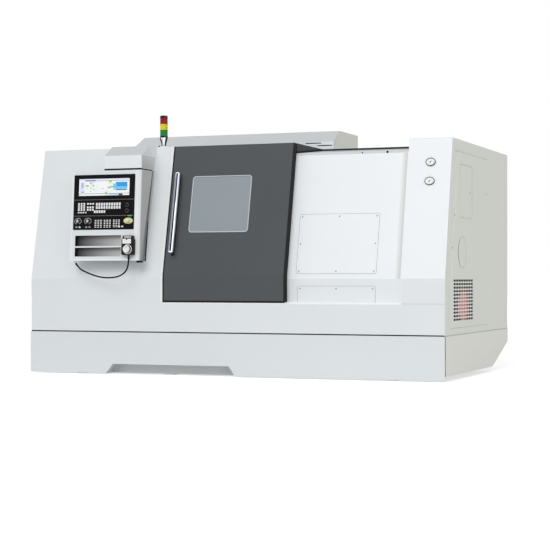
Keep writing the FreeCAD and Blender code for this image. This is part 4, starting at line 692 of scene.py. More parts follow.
WINDOW_X = (-0.406, 0.149)
WINDOW_Z = (up_to("door", 1.278), up_to("door", 1.770))
WINDOW_RADIUS = 0.022
HANDLE_X = -0.539
HANDLE_Z = (up_to("door", 1.075), up_to("door", 1.802))
HANDLE_OUT = 0.060
HANDLE_POST = 0.010
HANDLE_POST_INSET = 0.070
CHEEK_GREY = (0.048, 0.050, 0.052)
DOOR_BORDERS = ((-0.6275, -0.6155), (0.5225, 0.5285))
DOOR_EDGE_TOP = up_to("door", 2.0535)
# Across the black pad behind the handle bar, a painted shadow
HANDLE_SHADOW_X = (-0.560, -0.531)


class LATHE_OT_door(bpy.types.Operator):
    """Add the door's window trim, its round chrome handle and its black seals"""

    bl_idname = "lathe.door"
    bl_label = "Door trim and handle"

    def execute(self, context):
        sizes = context.scene.lathe_sizes
        opening = rounded(WINDOW_X, WINDOW_Z, WINDOW_RADIUS, 7)
        wide = sizes.trim_width
        trim = moulded(opening, [
            (0.0005, -0.003), (0.0005, 0.002), (-0.0015, 0.003), (-wide + 0.0015, 0.003),
            (-wide, 0.001), (-wide, 0), (0, 0)], closed=True)
        piece("window_trim", [(trim, "window_trim")], "door", "door",
              ("window_frame",))
        self.handle(sizes)
        self.seals()
        return {"FINISHED"}

    def seals(self):
        """The black edge and roof cheek of the door's right side, its sweep and its borders."""
        edge = [
            (0.0005, 0.6585), (0.0745, 0.6585), (0.0745, 0.890), (0.3285, 2.0545), (0.2545, 2.0545),
            (0.0005, 0.890)]
        cheek = [(0.3285, 1.983), (0.970, 2.0505), (0.970, 2.0515), (0.3285, 2.0515)]
        brush = [(0.3285, 1.9725), (0.970, 2.0405), (0.970, 2.0505), (0.3285, 1.983)]
        piece("door_edge", [
            (slab(edge), "rubber"), (slab(cheek, -0.004, 0), "seam", CHEEK_GREY),
            (slab(brush, -0.005), "rubber")], "door_side", "door")
        sweep = strip((DOOR_BORDERS[0][0], DOOR_BORDERS[1][1]), (0.6515, 0.6675), -0.012)
        borders = strips([(x, (0.6675, 0.8895)) for x in DOOR_BORDERS], "rubber")
        piece("door_sweep", [(sweep, "rubber")] + borders, "apron", "door")
        borders = strips([(x, (0, DOOR_EDGE_TOP)) for x in DOOR_BORDERS], "rubber")
        piece("door_borders", borders, "door", "door")

    def handle(self, sizes):
        """A round bar with half-round ends on two posts, each with a collar at the door, and a
        black pad behind it as painted shadow.
        """
        radius = sizes.handle_radius
        turn = np.linspace(0, pi / 2, 7)
        low, high = HANDLE_Z
        dome = radius * 0.6
        up = np.concatenate([low + dome - dome * np.cos(turn), high - dome + dome * np.sin(turn)])
        radii = np.maximum(radius * np.concatenate([np.sin(turn), np.cos(turn)]), 0.0008)
        path = [(HANDLE_X, HANDLE_OUT, height) for height in up]
        post = [
            (0.013, 0), (0.013, 0.002), (0.012, 0.003), (HANDLE_POST, 0.003),
            (HANDLE_POST, HANDLE_OUT)]
        # Painted shadow: a black pad behind the bar where it shades the door
        handle_shadow = rounded(HANDLE_SHADOW_X, (low - 0.012, high + 0.006), 0.010, 4)
        parts = [(swept(path, radii, 32), "chrome"), (crown(handle_shadow, 0, 0.0015, 0.0008), "rubber")]
        for height in (low + HANDLE_POST_INSET, high - HANDLE_POST_INSET):
            parts.append((turned(HANDLE_X, height, post, 20), "dark_rail"))
        piece("door_handle_bar", parts, "door", "door", ("door_handle",))


# ---- operator pendant ----

PANEL_X = (-1.471, -0.862)
PANEL_Z = (0.279, 0.775)
PANEL_OUT = 0.004
SCREEN_X = (-1.422, -0.913)
SCREEN_Z = (0.584, 0.740)
SCREEN_RIM = 0.003
DIVIDERS = (0.403, 0.548)
DIAL_X = (-1.422, -1.322)
DIAL_Z = 0.358
DIAL_RADIUS = 0.0215
DIAL_SCALE = (0.034, 0.027)
FLUTES = 24
FLUTE_DEPTH = 0.0006
ESTOP_AT = (-0.918, 0.356)
ESTOP_PLATE = (0.046, 0.027)
WHITE_KEY = (0.95, 0.95, 0.95)
GREEN_KEY = (0.25, 0.62, 0.45)
PINK_KEY = (0.72, 0.32, 0.42)
GREY_KEY = (0.42, 0.41, 0.42)
GREEN_LABEL = (0.16, 0.42, 0.40)
RING_GREY = (0.20, 0.19, 0.20)
SKIRT_BLACK = (0.05, 0.048, 0.05)
# Light grey of the dial grips, which also paints in the knobs' highlight
GRIP_HIGHLIGHT_GREY = (0.74, 0.73, 0.74)
STOP_YELLOW = (0.86, 0.86, 0.52)
CAPS_AT = ((-0.936, 0.498), (-0.936, 0.447))
LABEL_X = (-0.925, -0.885)
LABEL_Z = (0.396, 0.406)

# Each block of keys: left and right, bottom and top, columns and rows, and share of its cell filled
KEY_BLOCKS = (
    ((-1.424, -1.344), (0.450, 0.524), 3, 4, (0.62, 0.88)),
    ((-1.424, -1.330), (0.429, 0.443), 4, 1, (0.70, 0.80)),
    ((-1.334, -1.256), (0.505, 0.524), 3, 1, (0.70, 0.80)),
    ((-1.334, -1.256), (0.450, 0.494), 3, 2, (0.66, 0.80)),
    ((-1.244, -0.990), (0.465, 0.524), 10, 2, (0.70, 0.86)),
    ((-1.262, -1.142), (0.429, 0.457), 5, 1, (0.72, 0.86)),
    ((-1.251, -1.168), (0.297, 0.374), 3, 5, (0.60, 0.50)),
    ((-1.160, -1.080), (0.297, 0.374), 3, 5, (0.60, 0.50)),
    ((-1.067, -0.990), (0.312, 0.374), 3, 4, (0.60, 0.52)),
)
# Single keys below: place across and up, and colour
LOW_KEYS = (
    (-1.444, 0.297, GREEN_KEY), (-1.412, 0.297, WHITE_KEY), (-1.344, 0.297, GREEN_KEY),
    (-1.312, 0.297, PINK_KEY), (-1.066, 0.297, GREEN_KEY), (-1.040, 0.297, PINK_KEY),
    (-1.015, 0.297, WHITE_KEY), (-0.984, 0.299, WHITE_KEY),
)
LOW_KEY = (0.019, 0.012)

NAVY = (0.01, 0.04, 0.14)
SKY = (0.04, 0.34, 0.76)
PALE_SKY = (0.20, 0.55, 0.86)
TEAL = (0.16, 0.62, 0.62)
LAVENDER = (0.72, 0.74, 0.92)
OLIVE = (0.20, 0.20, 0.03)
STRAW = (0.86, 0.82, 0.20)
SLATE = (0.16, 0.22, 0.30)
PAPER = (0.84, 0.88, 0.86)

# Generic picture on the screen: left, right, bottom and top as shares of the screen, and colour
PICTURE = (
    (0.00, 1.00, 0.90, 1.00, LAVENDER),
    (0.12, 0.33, 0.87, 0.92, NAVY),
    (0.33, 1.00, 0.865, 0.885, SLATE),
    (0.02, 0.11, 0.16, 0.84, LAVENDER),
    (0.04, 0.09, 0.64, 0.68, SLATE),
    (0.04, 0.09, 0.56, 0.60, SLATE),
    (0.04, 0.09, 0.72, 0.76, SLATE),
    (0.04, 0.08, 0.46, 0.50, SLATE),
    (0.04, 0.10, 0.20, 0.24, SLATE),
    (0.20, 0.30, 0.79, 0.81, SLATE),
    (0.15, 0.18, 0.44, 0.46, OLIVE),
    (0.26, 0.29, 0.52, 0.55, SLATE),
    (0.28, 0.31, 0.34, 0.37, SLATE),
    (0.25, 0.27, 0.66, 0.69, SLATE),
    (0.44, 0.50, 0.40, 0.42, SLATE),
    (0.13, 0.19, 0.56, 0.62, OLIVE),
    (0.21, 0.26, 0.60, 0.63, STRAW),
    (0.21, 0.25, 0.72, 0.75, SLATE),
    (0.27, 0.31, 0.60, 0.63, SLATE),
    (0.22, 0.25, 0.44, 0.47, SLATE),
    (0.22, 0.24, 0.24, 0.28, SLATE),
    (0.335, 0.345, 0.20, 0.72, LAVENDER),
    (0.40, 0.56, 0.20, 0.76, (0.86, 0.87, 0.95)),
    (0.59, 0.65, 0.82, 0.87, OLIVE),
    (0.57, 0.67, 0.70, 0.78, STRAW),
    (0.53, 0.57, 0.18, 0.30, STRAW),
    (0.52, 0.56, 0.14, 0.18, OLIVE),
    (0.57, 0.62, 0.44, 0.50, SLATE),
    (0.61, 0.71, 0.46, 0.56, TEAL),
    (0.68, 0.75, 0.42, 0.70, PALE_SKY),
    (0.73, 0.96, 0.52, 0.79, SKY),
    (0.73, 0.96, 0.34, 0.52, PALE_SKY),
    (0.74, 0.95, 0.30, 0.34, NAVY),
    (0.69, 0.73, 0.34, 0.39, SLATE),
    (0.00, 1.00, 0.10, 0.125, SLATE),
    (0.52, 0.59, 0.02, 0.09, (0.55, 0.78, 0.62)),
    (0.61, 0.78, 0.02, 0.10, (0.45, 0.58, 0.78)),
    (0.79, 0.87, 0.00, 0.09, NAVY),
)


def key_cells(x, z, columns, rows):
    """How far each cell of a block lies from its first one (across, up)."""
    column, row = np.meshgrid(np.arange(columns), np.arange(rows))
    across = column.ravel() * (x[1] - x[0]) / columns
    up = row.ravel() * (z[1] - z[0]) / rows
    return np.stack([across, up], axis=-1)


class LATHE_OT_panel(bpy.types.Operator):
    """Add the operator panel's face plate, keys, caps and screen"""

    bl_idname = "lathe.panel"
    bl_label = "Operator panel"

    def execute(self, context):
        high = PANEL_OUT + context.scene.lathe_sizes.key_height
        plate = crown(rounded(PANEL_X, PANEL_Z, 0.006), 0, PANEL_OUT, 0.0012)
        parts = [(plate, "panel_black")]
        for height in DIVIDERS:
            line = rounded(
                (PANEL_X[0] + 0.004, PANEL_X[1] - 0.004), (height, height + 0.002), 0.0005)
            parts.append((crown(line, PANEL_OUT, PANEL_OUT + 0.0006, 0.0002), "key_cap", GREY_KEY))
        for x, z, columns, rows, (share_x, share_z) in KEY_BLOCKS:
            wide = share_x * (x[1] - x[0]) / columns
            tall = share_z * (z[1] - z[0]) / rows
            outline = rounded((x[0], x[0] + wide), (z[0], z[0] + tall), 0.0022, 3)
            keys = tiled(crown(outline, PANEL_OUT, high, 0.001), key_cells(x, z, columns, rows))
            parts.append((keys, "key_cap", WHITE_KEY))
        for x, z, tint in LOW_KEYS:
            outline = rounded((x, x + LOW_KEY[0]), (z, z + LOW_KEY[1]), 0.003, 3)
            parts.append((crown(outline, PANEL_OUT, high, 0.001), "key_cap", tint))
        for x, z in CAPS_AT:
            parts.append((self.cap(x, z), "knob_black"))
            ring = [(0.0185, PANEL_OUT), (0.0185, PANEL_OUT + 0.001), (0.0165, PANEL_OUT + 0.0015)]
            parts.append((turned(x, z, ring), "key_cap", RING_GREY))
        label = rounded(LABEL_X, LABEL_Z, 0.001, 2)
        parts.append((crown(label, PANEL_OUT, PANEL_OUT + 0.0008, 0.0002), "key_cap", GREEN_LABEL))
        shield = ellipse(*ESTOP_AT, *ESTOP_PLATE)
        parts.append((crown(shield, PANEL_OUT, PANEL_OUT + 0.0015, 0.0008), "estop"))
        piece("panel_face", parts, "pendant", "pendant", ("control_panel",))
        self.screen()
        return {"FINISHED"}

    def cap(self, x, z):
        """A round cap with a rounded rim and a shallow dish."""
        return turned(x, z, [
            (0.016, PANEL_OUT), (0.016, 0.0095), (0.0145, 0.0115), (0.0125, 0.012), (0.011, 0.0110),
            (0.004, 0.0104)])

    def screen(self):
        """A dark glass with a lit picture of plain blocks."""
        left, right = SCREEN_X
        low, high = SCREEN_Z
        glass = crown(rounded(SCREEN_X, SCREEN_Z, 0.003), 0.002, PANEL_OUT + 0.0004, 0.0003)
        parts = [(glass, "screen_glass")]
        lit = PANEL_OUT + 0.0006
        inner = rounded((left + 0.002, right - 0.002), (low + 0.002, high - 0.002), 0.002)
        parts.append((slab(inner, PANEL_OUT, lit), "display", PAPER))
        corner = np.array((left, low)) + SCREEN_RIM
        wide, tall = np.array((right, high)) - SCREEN_RIM - corner
        for i, (x0, x1, z0, z1, tint) in enumerate(PICTURE):
            across = corner[0] + wide * np.array((x0, x1))
            up = corner[1] + tall * np.array((z0, z1))
            top = lit + 0.0001 * (1 + i % 3)
            parts.append((strip(across, up, PANEL_OUT, top), "display", tint))
        piece("screen_picture", parts, "pendant", "pendant", ("screen",))


class LATHE_OT_dials(bpy.types.Operator):
    """Add the two override dials with their scales, and the stop button"""

    bl_idname = "lathe.dials"
    bl_label = "Dials and stop button"

    def execute(self, context):
        for side, x in zip(("left", "right"), DIAL_X):
            self.scale(side, x)
            self.dial(side, x)
        self.stop_button()
        return {"FINISHED"}

    def scale(self, side, x):
        """Small marks on an oval round the dial, from lower left over the top to lower right."""
        turn = np.radians(np.linspace(-60, 240, 16))
        mark = crown(
            rounded((-0.0028, 0.0028), (-0.0022, 0.0022), 0.0006, 2), PANEL_OUT, PANEL_OUT + 0.0006,
            0.0002)
        marks = tiled(mark, arc(x, DIAL_Z, *DIAL_SCALE, turn))
        piece("dial_scale_" + side, [(marks, "key_cap", WHITE_KEY)],
              "pendant", "pendant")

    def dial(self, side, x):
        """A fluted skirt, a raised pointer grip whose light grey also paints in the knob's
        highlight, and its white line.
        """
        near = PANEL_OUT + 0.0003
        turn = np.arange(3 * FLUTES) * tau / (3 * FLUTES)
        flute = DIAL_RADIUS + FLUTE_DEPTH * np.cos(FLUTES * turn)
        skirt = moulded(arc(x, DIAL_Z, flute, flute, turn), [
            (0, near), (0, near + 0.003), (0.002, near + 0.006), (0.005, near + 0.0065)])
        grip_outline = [
            (x - 0.009, DIAL_Z - 0.013), (x + 0.009, DIAL_Z - 0.013), (x + 0.009, DIAL_Z + 0.008),
            (x, DIAL_Z + 0.015), (x - 0.009, DIAL_Z + 0.008)]
        grip = moulded(grip_outline, [
            (0, near + 0.004), (0.0008, near + 0.0155), (0.002, near + 0.0175),
            (0.004, near + 0.018)])
        mark = rounded((x - 0.001, x + 0.001), (DIAL_Z + 0.002, DIAL_Z + 0.012), 0.0005, 2)
        line = slab(mark, near + 0.017, near + 0.0183)
        piece("dial_knob_" + side, [
            (skirt, "key_cap", SKIRT_BLACK), (grip, "key_cap", GRIP_HIGHLIGHT_GREY), (line, "knob_black")],
            "pendant", "dial_" + side, ("override_dial_" + side,))

    def stop_button(self):
        """A mushroom head on its stem, its rim rounded and its top slightly domed."""
        x, z = ESTOP_AT
        stem = [(0.009, 0.001), (0.009, 0.017)]
        head = [
            (0.012, 0.016), (0.019, 0.0165), (0.020, 0.019), (0.0195, 0.026), (0.0175, 0.0315),
            (0.013, 0.0350), (0.006, 0.0358)]
        piece("stop_button", [
            (turned(x, z, stem, 24), "white_plastic"),
            (turned(x, z, head, 40), "key_cap", STOP_YELLOW)],
            "pendant", "estop", ("estop_button",))


# ---- handwheel unit ----

HAND_X = (-0.962, -0.841)
HAND_Z = (0.048, 0.220)
HAND_OUT = 0.042
HAND_WHEEL_AT = (-0.906, 0.098)
HAND_NECK = 0.010
HAND_SHOULDER = HAND_Z[0] + 0.140


class LATHE_OT_hand_unit(bpy.types.Operator):
    """Add the handwheel unit's moulded case, its label field and its wheel"""

    bl_idname = "lathe.hand_unit"
    bl_label = "Handwheel unit"

    def execute(self, context):
        left, right = HAND_X
        low, high = HAND_Z
        neck, shoulder = HAND_NECK, HAND_SHOULDER
        outline = self.eased(np.array([
            (left, low), (right, low), (right, shoulder), (right - neck, shoulder + neck),
            (right - neck, high), (left + neck, high), (left + neck, shoulder + neck),
            (left, shoulder)]), 0.006)
        case = moulded(outline, [
            (0.001, 0), (0, 0.004), (0, HAND_OUT - 0.006), (0.002, HAND_OUT - 0.002),
            (0.006, HAND_OUT)])
        top = HAND_OUT + 0.0008
        parts = [(case, "knob_black")]
        slot = rounded((left + 0.030, right - 0.024), (high - 0.018, high - 0.009), 0.003, 3)
        parts.append((crown(slot, HAND_OUT - 0.002, top + 0.003, 0.001), "white_plastic"))
        field = rounded((left + 0.012, right - 0.024), (low + 0.100, low + 0.143), 0.004, 4)
        parts.append((crown(field, HAND_OUT - 0.002, top, 0.0005), "white_plastic"))
        x, z = HAND_WHEEL_AT
        ring = band(ellipse(x + 0.008, z, 0.036, 0.036), 0.006, HAND_OUT - 0.001, top)
        parts.append((ring, "white_plastic"))
        dot = [(0.006, top - 0.001), (0.006, top + 0.0015), (0.004, top + 0.002)]
        middle = (field[:, 0].min() + field[:, 0].max()) / 2
        parts.append((turned(middle, low + 0.137, dot, 16), "knob_black"))
        piece("hand_case", parts, "pendant", "pendant", ("hand_unit",))
        self.gland()
        self.wheel(x, z)
        return {"FINISHED"}

    def eased(self, outline, radius):
        """Each corner replaced by four points on the curve a to b that bends towards it."""
        before = np.roll(outline, 1, axis=0) - outline
        after = np.roll(outline, -1, axis=0) - outline
        before *= radius / np.linalg.norm(before, axis=1)[:, None]
        after *= radius / np.linalg.norm(after, axis=1)[:, None]
        share = np.linspace(0, 1, 4)[None, :, None]
        corner = outline[:, None] + before[:, None] * (1 - share) ** 2 + after[:, None] * share ** 2
        return corner.reshape(-1, 2)

    def gland(self):
        """The ribbed nut that holds the cable under the case."""
        x, y, low = CABLE_ROUTE[0]
        profile = [
            (0.0085, low), (0.0085, low + 0.008), (0.0105, low + 0.009), (0.0105, low + 0.022)]
        nut = turned(x, y - FRONT, profile, 12)
        piece("hand_gland", [(nut, "knob_black")], "floor", "pendant")

    def wheel(self, x, z):
        """A dished wheel with a rounded rim and a turned crank grip."""
        near = HAND_OUT + 0.0003
        far = near + 0.014
        rim = [
            (0.030, near), (0.032, near + 0.002), (0.032, far - 0.003), (0.0305, far),
            (0.027, far - 0.0005), (0.024, far - 0.002), (0.010, far - 0.0015), (0.004, far)]
        grip = [
            (0.005, far - 0.003), (0.0055, far + 0.002), (0.006, far + 0.006),
            (0.0058, far + 0.0095), (0.004, far + 0.011)]
        piece("crank_wheel", [
            (turned(x, z, rim, 48), "white_plastic"),
            (turned(x, z + 0.019, grip, 20), "grey_plastic")],
            "pendant", "handwheel", ("hand_wheel",))


# ---- pendant trim ----

SHELF_X = (-1.4465, -0.9855)
SHELVES_Z = ((0.1325, 0.2265), (0.0385, 0.1175))
SHELF_DEEP = 0.044
# Painted shade in the shelves: grey of the back at its left and right end
LINER_SHADE_GREYS = (0.03, 0.62)
# Painted shade: grey facing on the arm box's slope
ARM_SLOPE_SHADE = (0.66, 0.69, 0.70)
# The side cheek and its edge strip, as (to the rear, up), and the heights of the cheek's ends
CHEEK_Z = (1.026, 1.828)
CHEEK = ((-0.105, 1.026), (-0.078, 1.026), (0.156, 1.828), (-0.052, 1.828))
CHEEK_EDGE = ((-0.078, 1.022), (-0.050, 1.022), (0.166, 1.832), (0.156, 1.832))
# Their painted shade greys: rear and front at the foot, then rear and front at the top
CHEEK_SHADE_GREYS = ((0.40, 0.58), (0.60, 0.66))
EDGE_SHADE_GREYS = ((0.42, 0.42), (0.01, 0.01))
# The arm box's side: heights of its foot and top, and its painted shade grey at each
ARM_SIDE_Z = (1.848, 1.962)
ARM_SIDE_SHADE_GREYS = (0.62, 0.83)
# The gasket between the pendant and its arm box
GASKET_Y = (-0.0605, 0.160)
GASKET_LOW = 1.8326
# Painted shade: grey of the strip for the shadow in the gap behind the pendant
GAP_SHADE_GREY = 0.36
# Painted highlights along the pendant front's edges: across and up
PENDANT_HIGHLIGHTS = (
    ((-0.8550, -0.8240), (0.012, 0.806)), ((-1.4915, -1.4790), (0.012, 0.806)),
    ((-1.4915, -0.8030), (0.001, 0.012)))


class LATHE_OT_pendant_trim(bpy.types.Operator):
    """Add the pendant's cheek and shelf liners in painted shade, its edges in painted highlight,
    and its arm box's gasket and painted-shade facings
    """

    bl_idname = "lathe.pendant_trim"
    bl_label = "Pendant trim"

    def execute(self, context):
        self.cheek()
        self.gasket()
        edges = strips(PENDANT_HIGHLIGHTS, "gloss_white")
        piece("pendant_edges", edges, "pendant", "pendant")
        self.arm_facings()
        self.wear_strip()
        self.shelf_liners()
        return {"FINISHED"}

    def cheek(self):
        """The cheek and the edge strip on the pendant's right side, and the bumper at its foot.

        Both are painted shade: a point is tinted by whether it lies in the upper half and in the
        rear part.
        """
        bumper = strip((-0.112, -0.046), (1.004, 1.0222), -0.030, TRIM)
        parts = []
        for outline, high, (foot, top) in (
                (CHEEK, 0.0008, CHEEK_SHADE_GREYS), (CHEEK_EDGE, TRIM, EDGE_SHADE_GREYS)):
            shape = slab(outline, 0, high)
            points = shape[0]
            up = (points[:, 2] - CHEEK_Z[0]) / (CHEEK_Z[1] - CHEEK_Z[0])
            rear = points[:, 0] > points[:, 0].min() + 0.012 + 0.12 * up
            tint = np.where(up > 0.5, np.where(rear, *top), np.where(rear, *foot))
            parts.append((shape, "seam", tint[:, None]))
        parts.append((bumper, "rubber"))
        piece("pendant_cheek", parts, "pendant_side", "pendant")

    def gasket(self):
        """Rubber between the arm box and the pendant, which shows at its front and its right."""
        front = GASKET_Y[0] - 0.0003
        piece("arm_gasket", [
            (strip((-1.1735, -0.8035), GASKET_Y, GASKET_LOW, 1.8400), "rubber"),
            (strip((-1.1735, -0.8032), (front, front + 0.0008), GASKET_LOW, 1.8475), "rubber"),
            (strip((-0.8040, -0.8032), (front, GASKET_Y[1]), GASKET_LOW, 1.8440), "rubber")],
            "floor", "machine")

    def arm_facings(self):
        """Painted shade: facings on the arm box's right side, lighter towards its top, and on its
        slope.
        """
        low, high = ARM_SIDE_Z
        side = slab([(-0.0595, low), (0.200, low), (0.226, high), (-0.0595, high)])
        piece("arm_cheek", [(side, "seam", graded(side, 2, ARM_SIDE_Z, ARM_SIDE_SHADE_GREYS))],
              "arm_side", "machine")
        slope = strip((-1.1725, -0.8045), (0.001, 0.178))
        piece("arm_slope_mat", [(slope, "seam", ARM_SLOPE_SHADE)], "arm_slope", "machine")

    def wear_strip(self):
        """Painted shade on the front sheet beside the pendant: a grey strip for the shadow in the
        gap behind it, with a black line down its edge.
        """
        low, middle, high = (up_to("front", z) for z in (1.018, 1.380, 1.800))
        shade_outline = [(-0.850, low), (-0.807, low), (-0.8205, middle), (-0.8205, high), (-0.850, high)]
        line = [(-0.818, low), (-0.807, low), (-0.8205, middle), (-0.8265, middle)]
        piece("wear_strip", [
            (slab(shade_outline, 0, 0.001), "seam", GAP_SHADE_GREY), (slab(line, 0, 0.0014), "rubber")],
            "front", "machine")

    def shelf_liners(self):
        """Painted shade in each shelf: its back, which is lighter to the right, and black on its
        left side and its top.
        """
        left = SHELF_X[0]
        back, front = 0.002 - SHELF_DEEP, -0.001
        parts = []
        for low, high in SHELVES_Z:
            rear = strip(SHELF_X, (low, high), back - 0.001, back)
            parts += [
                (rear, "seam", graded(rear, 0, SHELF_X, LINER_SHADE_GREYS)),
                (strip((left, left + 0.001), (low, high), back, front), "rubber"),
                (strip(SHELF_X, (high - 0.001, high), back, front), "rubber"),
            ]
        piece("shelf_liners", parts, "pendant", "pendant")


# ---- signal tower and gauges ----

TOWER_AT = (-0.755, 0.300)
TOWER_RADIUS = 0.036
TOWER_LENS = 0.055
TOWER_LENS_LOW = 2.157
TOWER_RIBS = 9
# Outlines of the two thin legs, across from the pole and up from the floor
TOWER_LEGS = (
    ((-0.010, 2.060), (-0.012, 2.085), (-0.020, 2.120), (-0.020, 2.1565), (-0.0365, 2.1565),
     (-0.0365, 2.128), (-0.031, 2.116), (-0.022, 2.090), (-0.0195, 2.060)),
    ((0.012, 2.060), (0.019, 2.060), (0.022, 2.090), (0.0365, 2.138), (0.0365, 2.1565),
     (0.031, 2.1565), (0.031, 2.142), (0.017, 2.110), (0.0135, 2.090)),
)
ROOF = 2.055
GAUGE_X = 1.778
GAUGE_HEIGHTS = (1.848, 1.685)
GAUGE_OVAL = (0.0435, 0.0350)
GAUGE_SCALE = (0.034, 0.026)
GAUGE_POINTS = radians(225)


class LATHE_OT_tower(bpy.types.Operator):
    """Add the signal tower's ribbed lenses, cap, cup, pole and foot"""

    bl_idname = "lathe.tower"
    bl_label = "Signal tower"

    def execute(self, context):
        x, y = TOWER_AT
        for i, tone in enumerate(("green", "yellow", "red")):
            low = TOWER_LENS_LOW + i * TOWER_LENS
            height = np.linspace(0.002, TOWER_LENS - 0.002, 21)
            turn = height / (TOWER_LENS - 0.004) * tau * TOWER_RIBS
            rib = TOWER_RADIUS - 0.0012 + 0.0008 * np.cos(turn)
            profile = [(TOWER_RADIUS - 0.002, low), (TOWER_RADIUS, low + 0.001)]
            profile += list(zip(rib, low + height))
            high = low + TOWER_LENS
            profile += [(TOWER_RADIUS, high - 0.001), (TOWER_RADIUS - 0.002, high)]
            piece("lens_" + tone, [(turned(x, y, profile, 48), tone + "_lens")], "floor", "machine",
                  ("tower_lens_" + tone,))
        self.stand(x, y)
        return {"FINISHED"}

    def stand(self, x, y):
        """Cap with a rounded rim, cup, pole with its nuts, and foot."""
        top = TOWER_LENS_LOW + 3 * TOWER_LENS
        cap = [
            (TOWER_RADIUS, top), (TOWER_RADIUS, top + 0.015), (TOWER_RADIUS - 0.002, top + 0.019),
            (0.030, top + 0.022), (0.005, top + 0.022)]
        low = TOWER_LENS_LOW - 0.014
        cup = [
            (0.028, low), (TOWER_RADIUS - 0.002, low + 0.001), (TOWER_RADIUS, low + 0.003),
            (TOWER_RADIUS, TOWER_LENS_LOW)]
        pole = [
            (0.011, ROOF + 0.004), (0.011, ROOF + 0.018), (0.0145, ROOF + 0.022),
            (0.016, ROOF + 0.045), (0.022, ROOF + 0.066), (0.030, ROOF + 0.086), (0.030, low)]
        foot = [
            (0.040, ROOF), (0.040, ROOF + 0.005), (0.037, ROOF + 0.008), (0.020, ROOF + 0.008),
            (0.016, ROOF + 0.014), (0.011, ROOF + 0.014)]
        seam = [(TOWER_RADIUS + 0.0002, top - 0.001), (TOWER_RADIUS + 0.0002, top + 0.001)]
        screw = [(0.010, ROOF), (0.010, ROOF + 0.016), (0.007, ROOF + 0.018)]
        parts = [
            (turned(x, y, cap, 48), "gloss_black"), (turned(x, y, cup, 48), "gloss_black"),
            (turned(x, y, pole, 24), "chrome"), (turned(x, y, foot, 40), "white_plastic"),
            (turned(x - 0.042, y, screw, 16), "gloss_black"), (turned(x, y, seam, 48), "rubber")]
        piece("tower_stand", parts, "floor", "machine", ("tower_base",))
        piece("tower_legs", [
            (slab([(x + across, up) for across, up in leg], -0.006, 0.006), "gloss_black")
            for leg in TOWER_LEGS], "tower", "machine")


class LATHE_OT_gauges(bpy.types.Operator):
    """Add the two pressure gauges with their bezels, scales and pointers"""

    bl_idname = "lathe.gauges"
    bl_label = "Pressure gauges"

    def execute(self, context):
        parts = []
        for height in GAUGE_HEIGHTS:
            z = up_to("front", height)
            oval = ellipse(GAUGE_X, z, *GAUGE_OVAL)
            bezel = [
                (0, 0), (0, 0.010), (0.0014, 0.0132), (0.0030, 0.014), (0.0046, 0.0130),
                (0.0052, 0.009), (0.0052, 0.0075)]
            dish = [(0.005, 0.007), (0.005, 0.0080), (0.012, 0.0080)]
            parts.append((moulded(oval, bezel), "gauge_rim"))
            parts.append((moulded(oval, dish), "gauge_face"))
            turn = np.radians(np.linspace(-45, 225, 11))
            dot = rounded((-0.0009, 0.0009), (-0.0009, 0.0009), 0.0003, 2)
            mark = crown(dot, 0.0078, 0.0083, 0.0001)
            parts.append((tiled(mark, arc(GAUGE_X, z, *GAUGE_SCALE, turn)), "knob_black"))
            parts.append((self.pointer(z), "knob_black"))
            hub = [(0.0045, 0.008), (0.0045, 0.0105), (0.003, 0.0112)]
            parts.append((turned(GAUGE_X, z, hub, 20), "knob_black"))
        piece("gauge_pair", parts, "front", "machine", ("gauges",))
        return {"FINISHED"}

    def pointer(self, z):
        """A long triangle that points to the lower left."""
        along = np.array((cos(GAUGE_POINTS), sin(GAUGE_POINTS)))
        side = np.array((-along[1], along[0]))
        at = np.array((GAUGE_X, z))
        tail = at - 0.008 * along
        return slab([at + 0.018 * along, tail + 0.002 * side, tail - 0.002 * side], 0.0085, 0.0097)


# ---- seams ----

# Greys of the lines between sheets, of the painted shadow lines round the covers, and of the
# painted shade facings
JOINT_AND_SHADOW_GREY = (0.37, 0.38, 0.39)
PALE_LINE = (0.54, 0.55, 0.51)
ROOF_SHADE_GREY = (0.56, 0.58, 0.59)
TOP_EDGE_SHADE_GREY = (0.72, 0.74, 0.75)
COLUMN_SHADE_GREYS = (0.93, 0.68)
FOOT_SHADE_GREY = (0.875, 0.912, 0.932)
COLUMN_FOOT_SHADE_GREY = (0.865, 0.90, 0.92)
# Places across and up that the sheets' seams follow
END_LINE = 0.003
# Across the white strip on the cabinet's edge, a painted highlight
NOSE_HIGHLIGHT_X = (-0.646, -0.6295)
FIXED_X = (0.535, 1.574)
FOOT_Z = (0.652, 0.8595)
COLUMN_EDGE = (1.500, 1.548)
FIXED_TOP = (up_to("fixed", 1.944), up_to("fixed", 1.9635))
FIXED_STOPS = up_to("fixed", 1.953)
SEAL_Y = (0.004, 2.324)
REAR_DOORS_X = (0.100, 0.900, 1.700)
REAR_DOORS_Z = (0.420, 1.900)
RIGHT_LINES = (((0.330, 1.480), (1.9505, 1.9535)), ((0.195, 1.480), (0.440, 0.443)))
ROUND_COVER = (0.562, 1.088)
ROUND_RADIUS = 0.135
# Painted shadow on the round cover's line: how far it widens, where its dark front part ends, and
# its two greys
ROUND_SHADOW_WIDENS = 0.016
ROUND_SHADE_TO = 0.50
ROUND_SHADE_GREYS = (0.24, 0.54)
TOP_STRIP_X = (-1.425, 0.6215)
TOP_STRIP_Z = (2.056, 2.088, 2.097, 2.112, 2.121, 2.1295)
TOP_SLOTS = ((0.459, 0.604), (0.345, 0.498))
SEAM_Z = (0.3795, 0.3845)
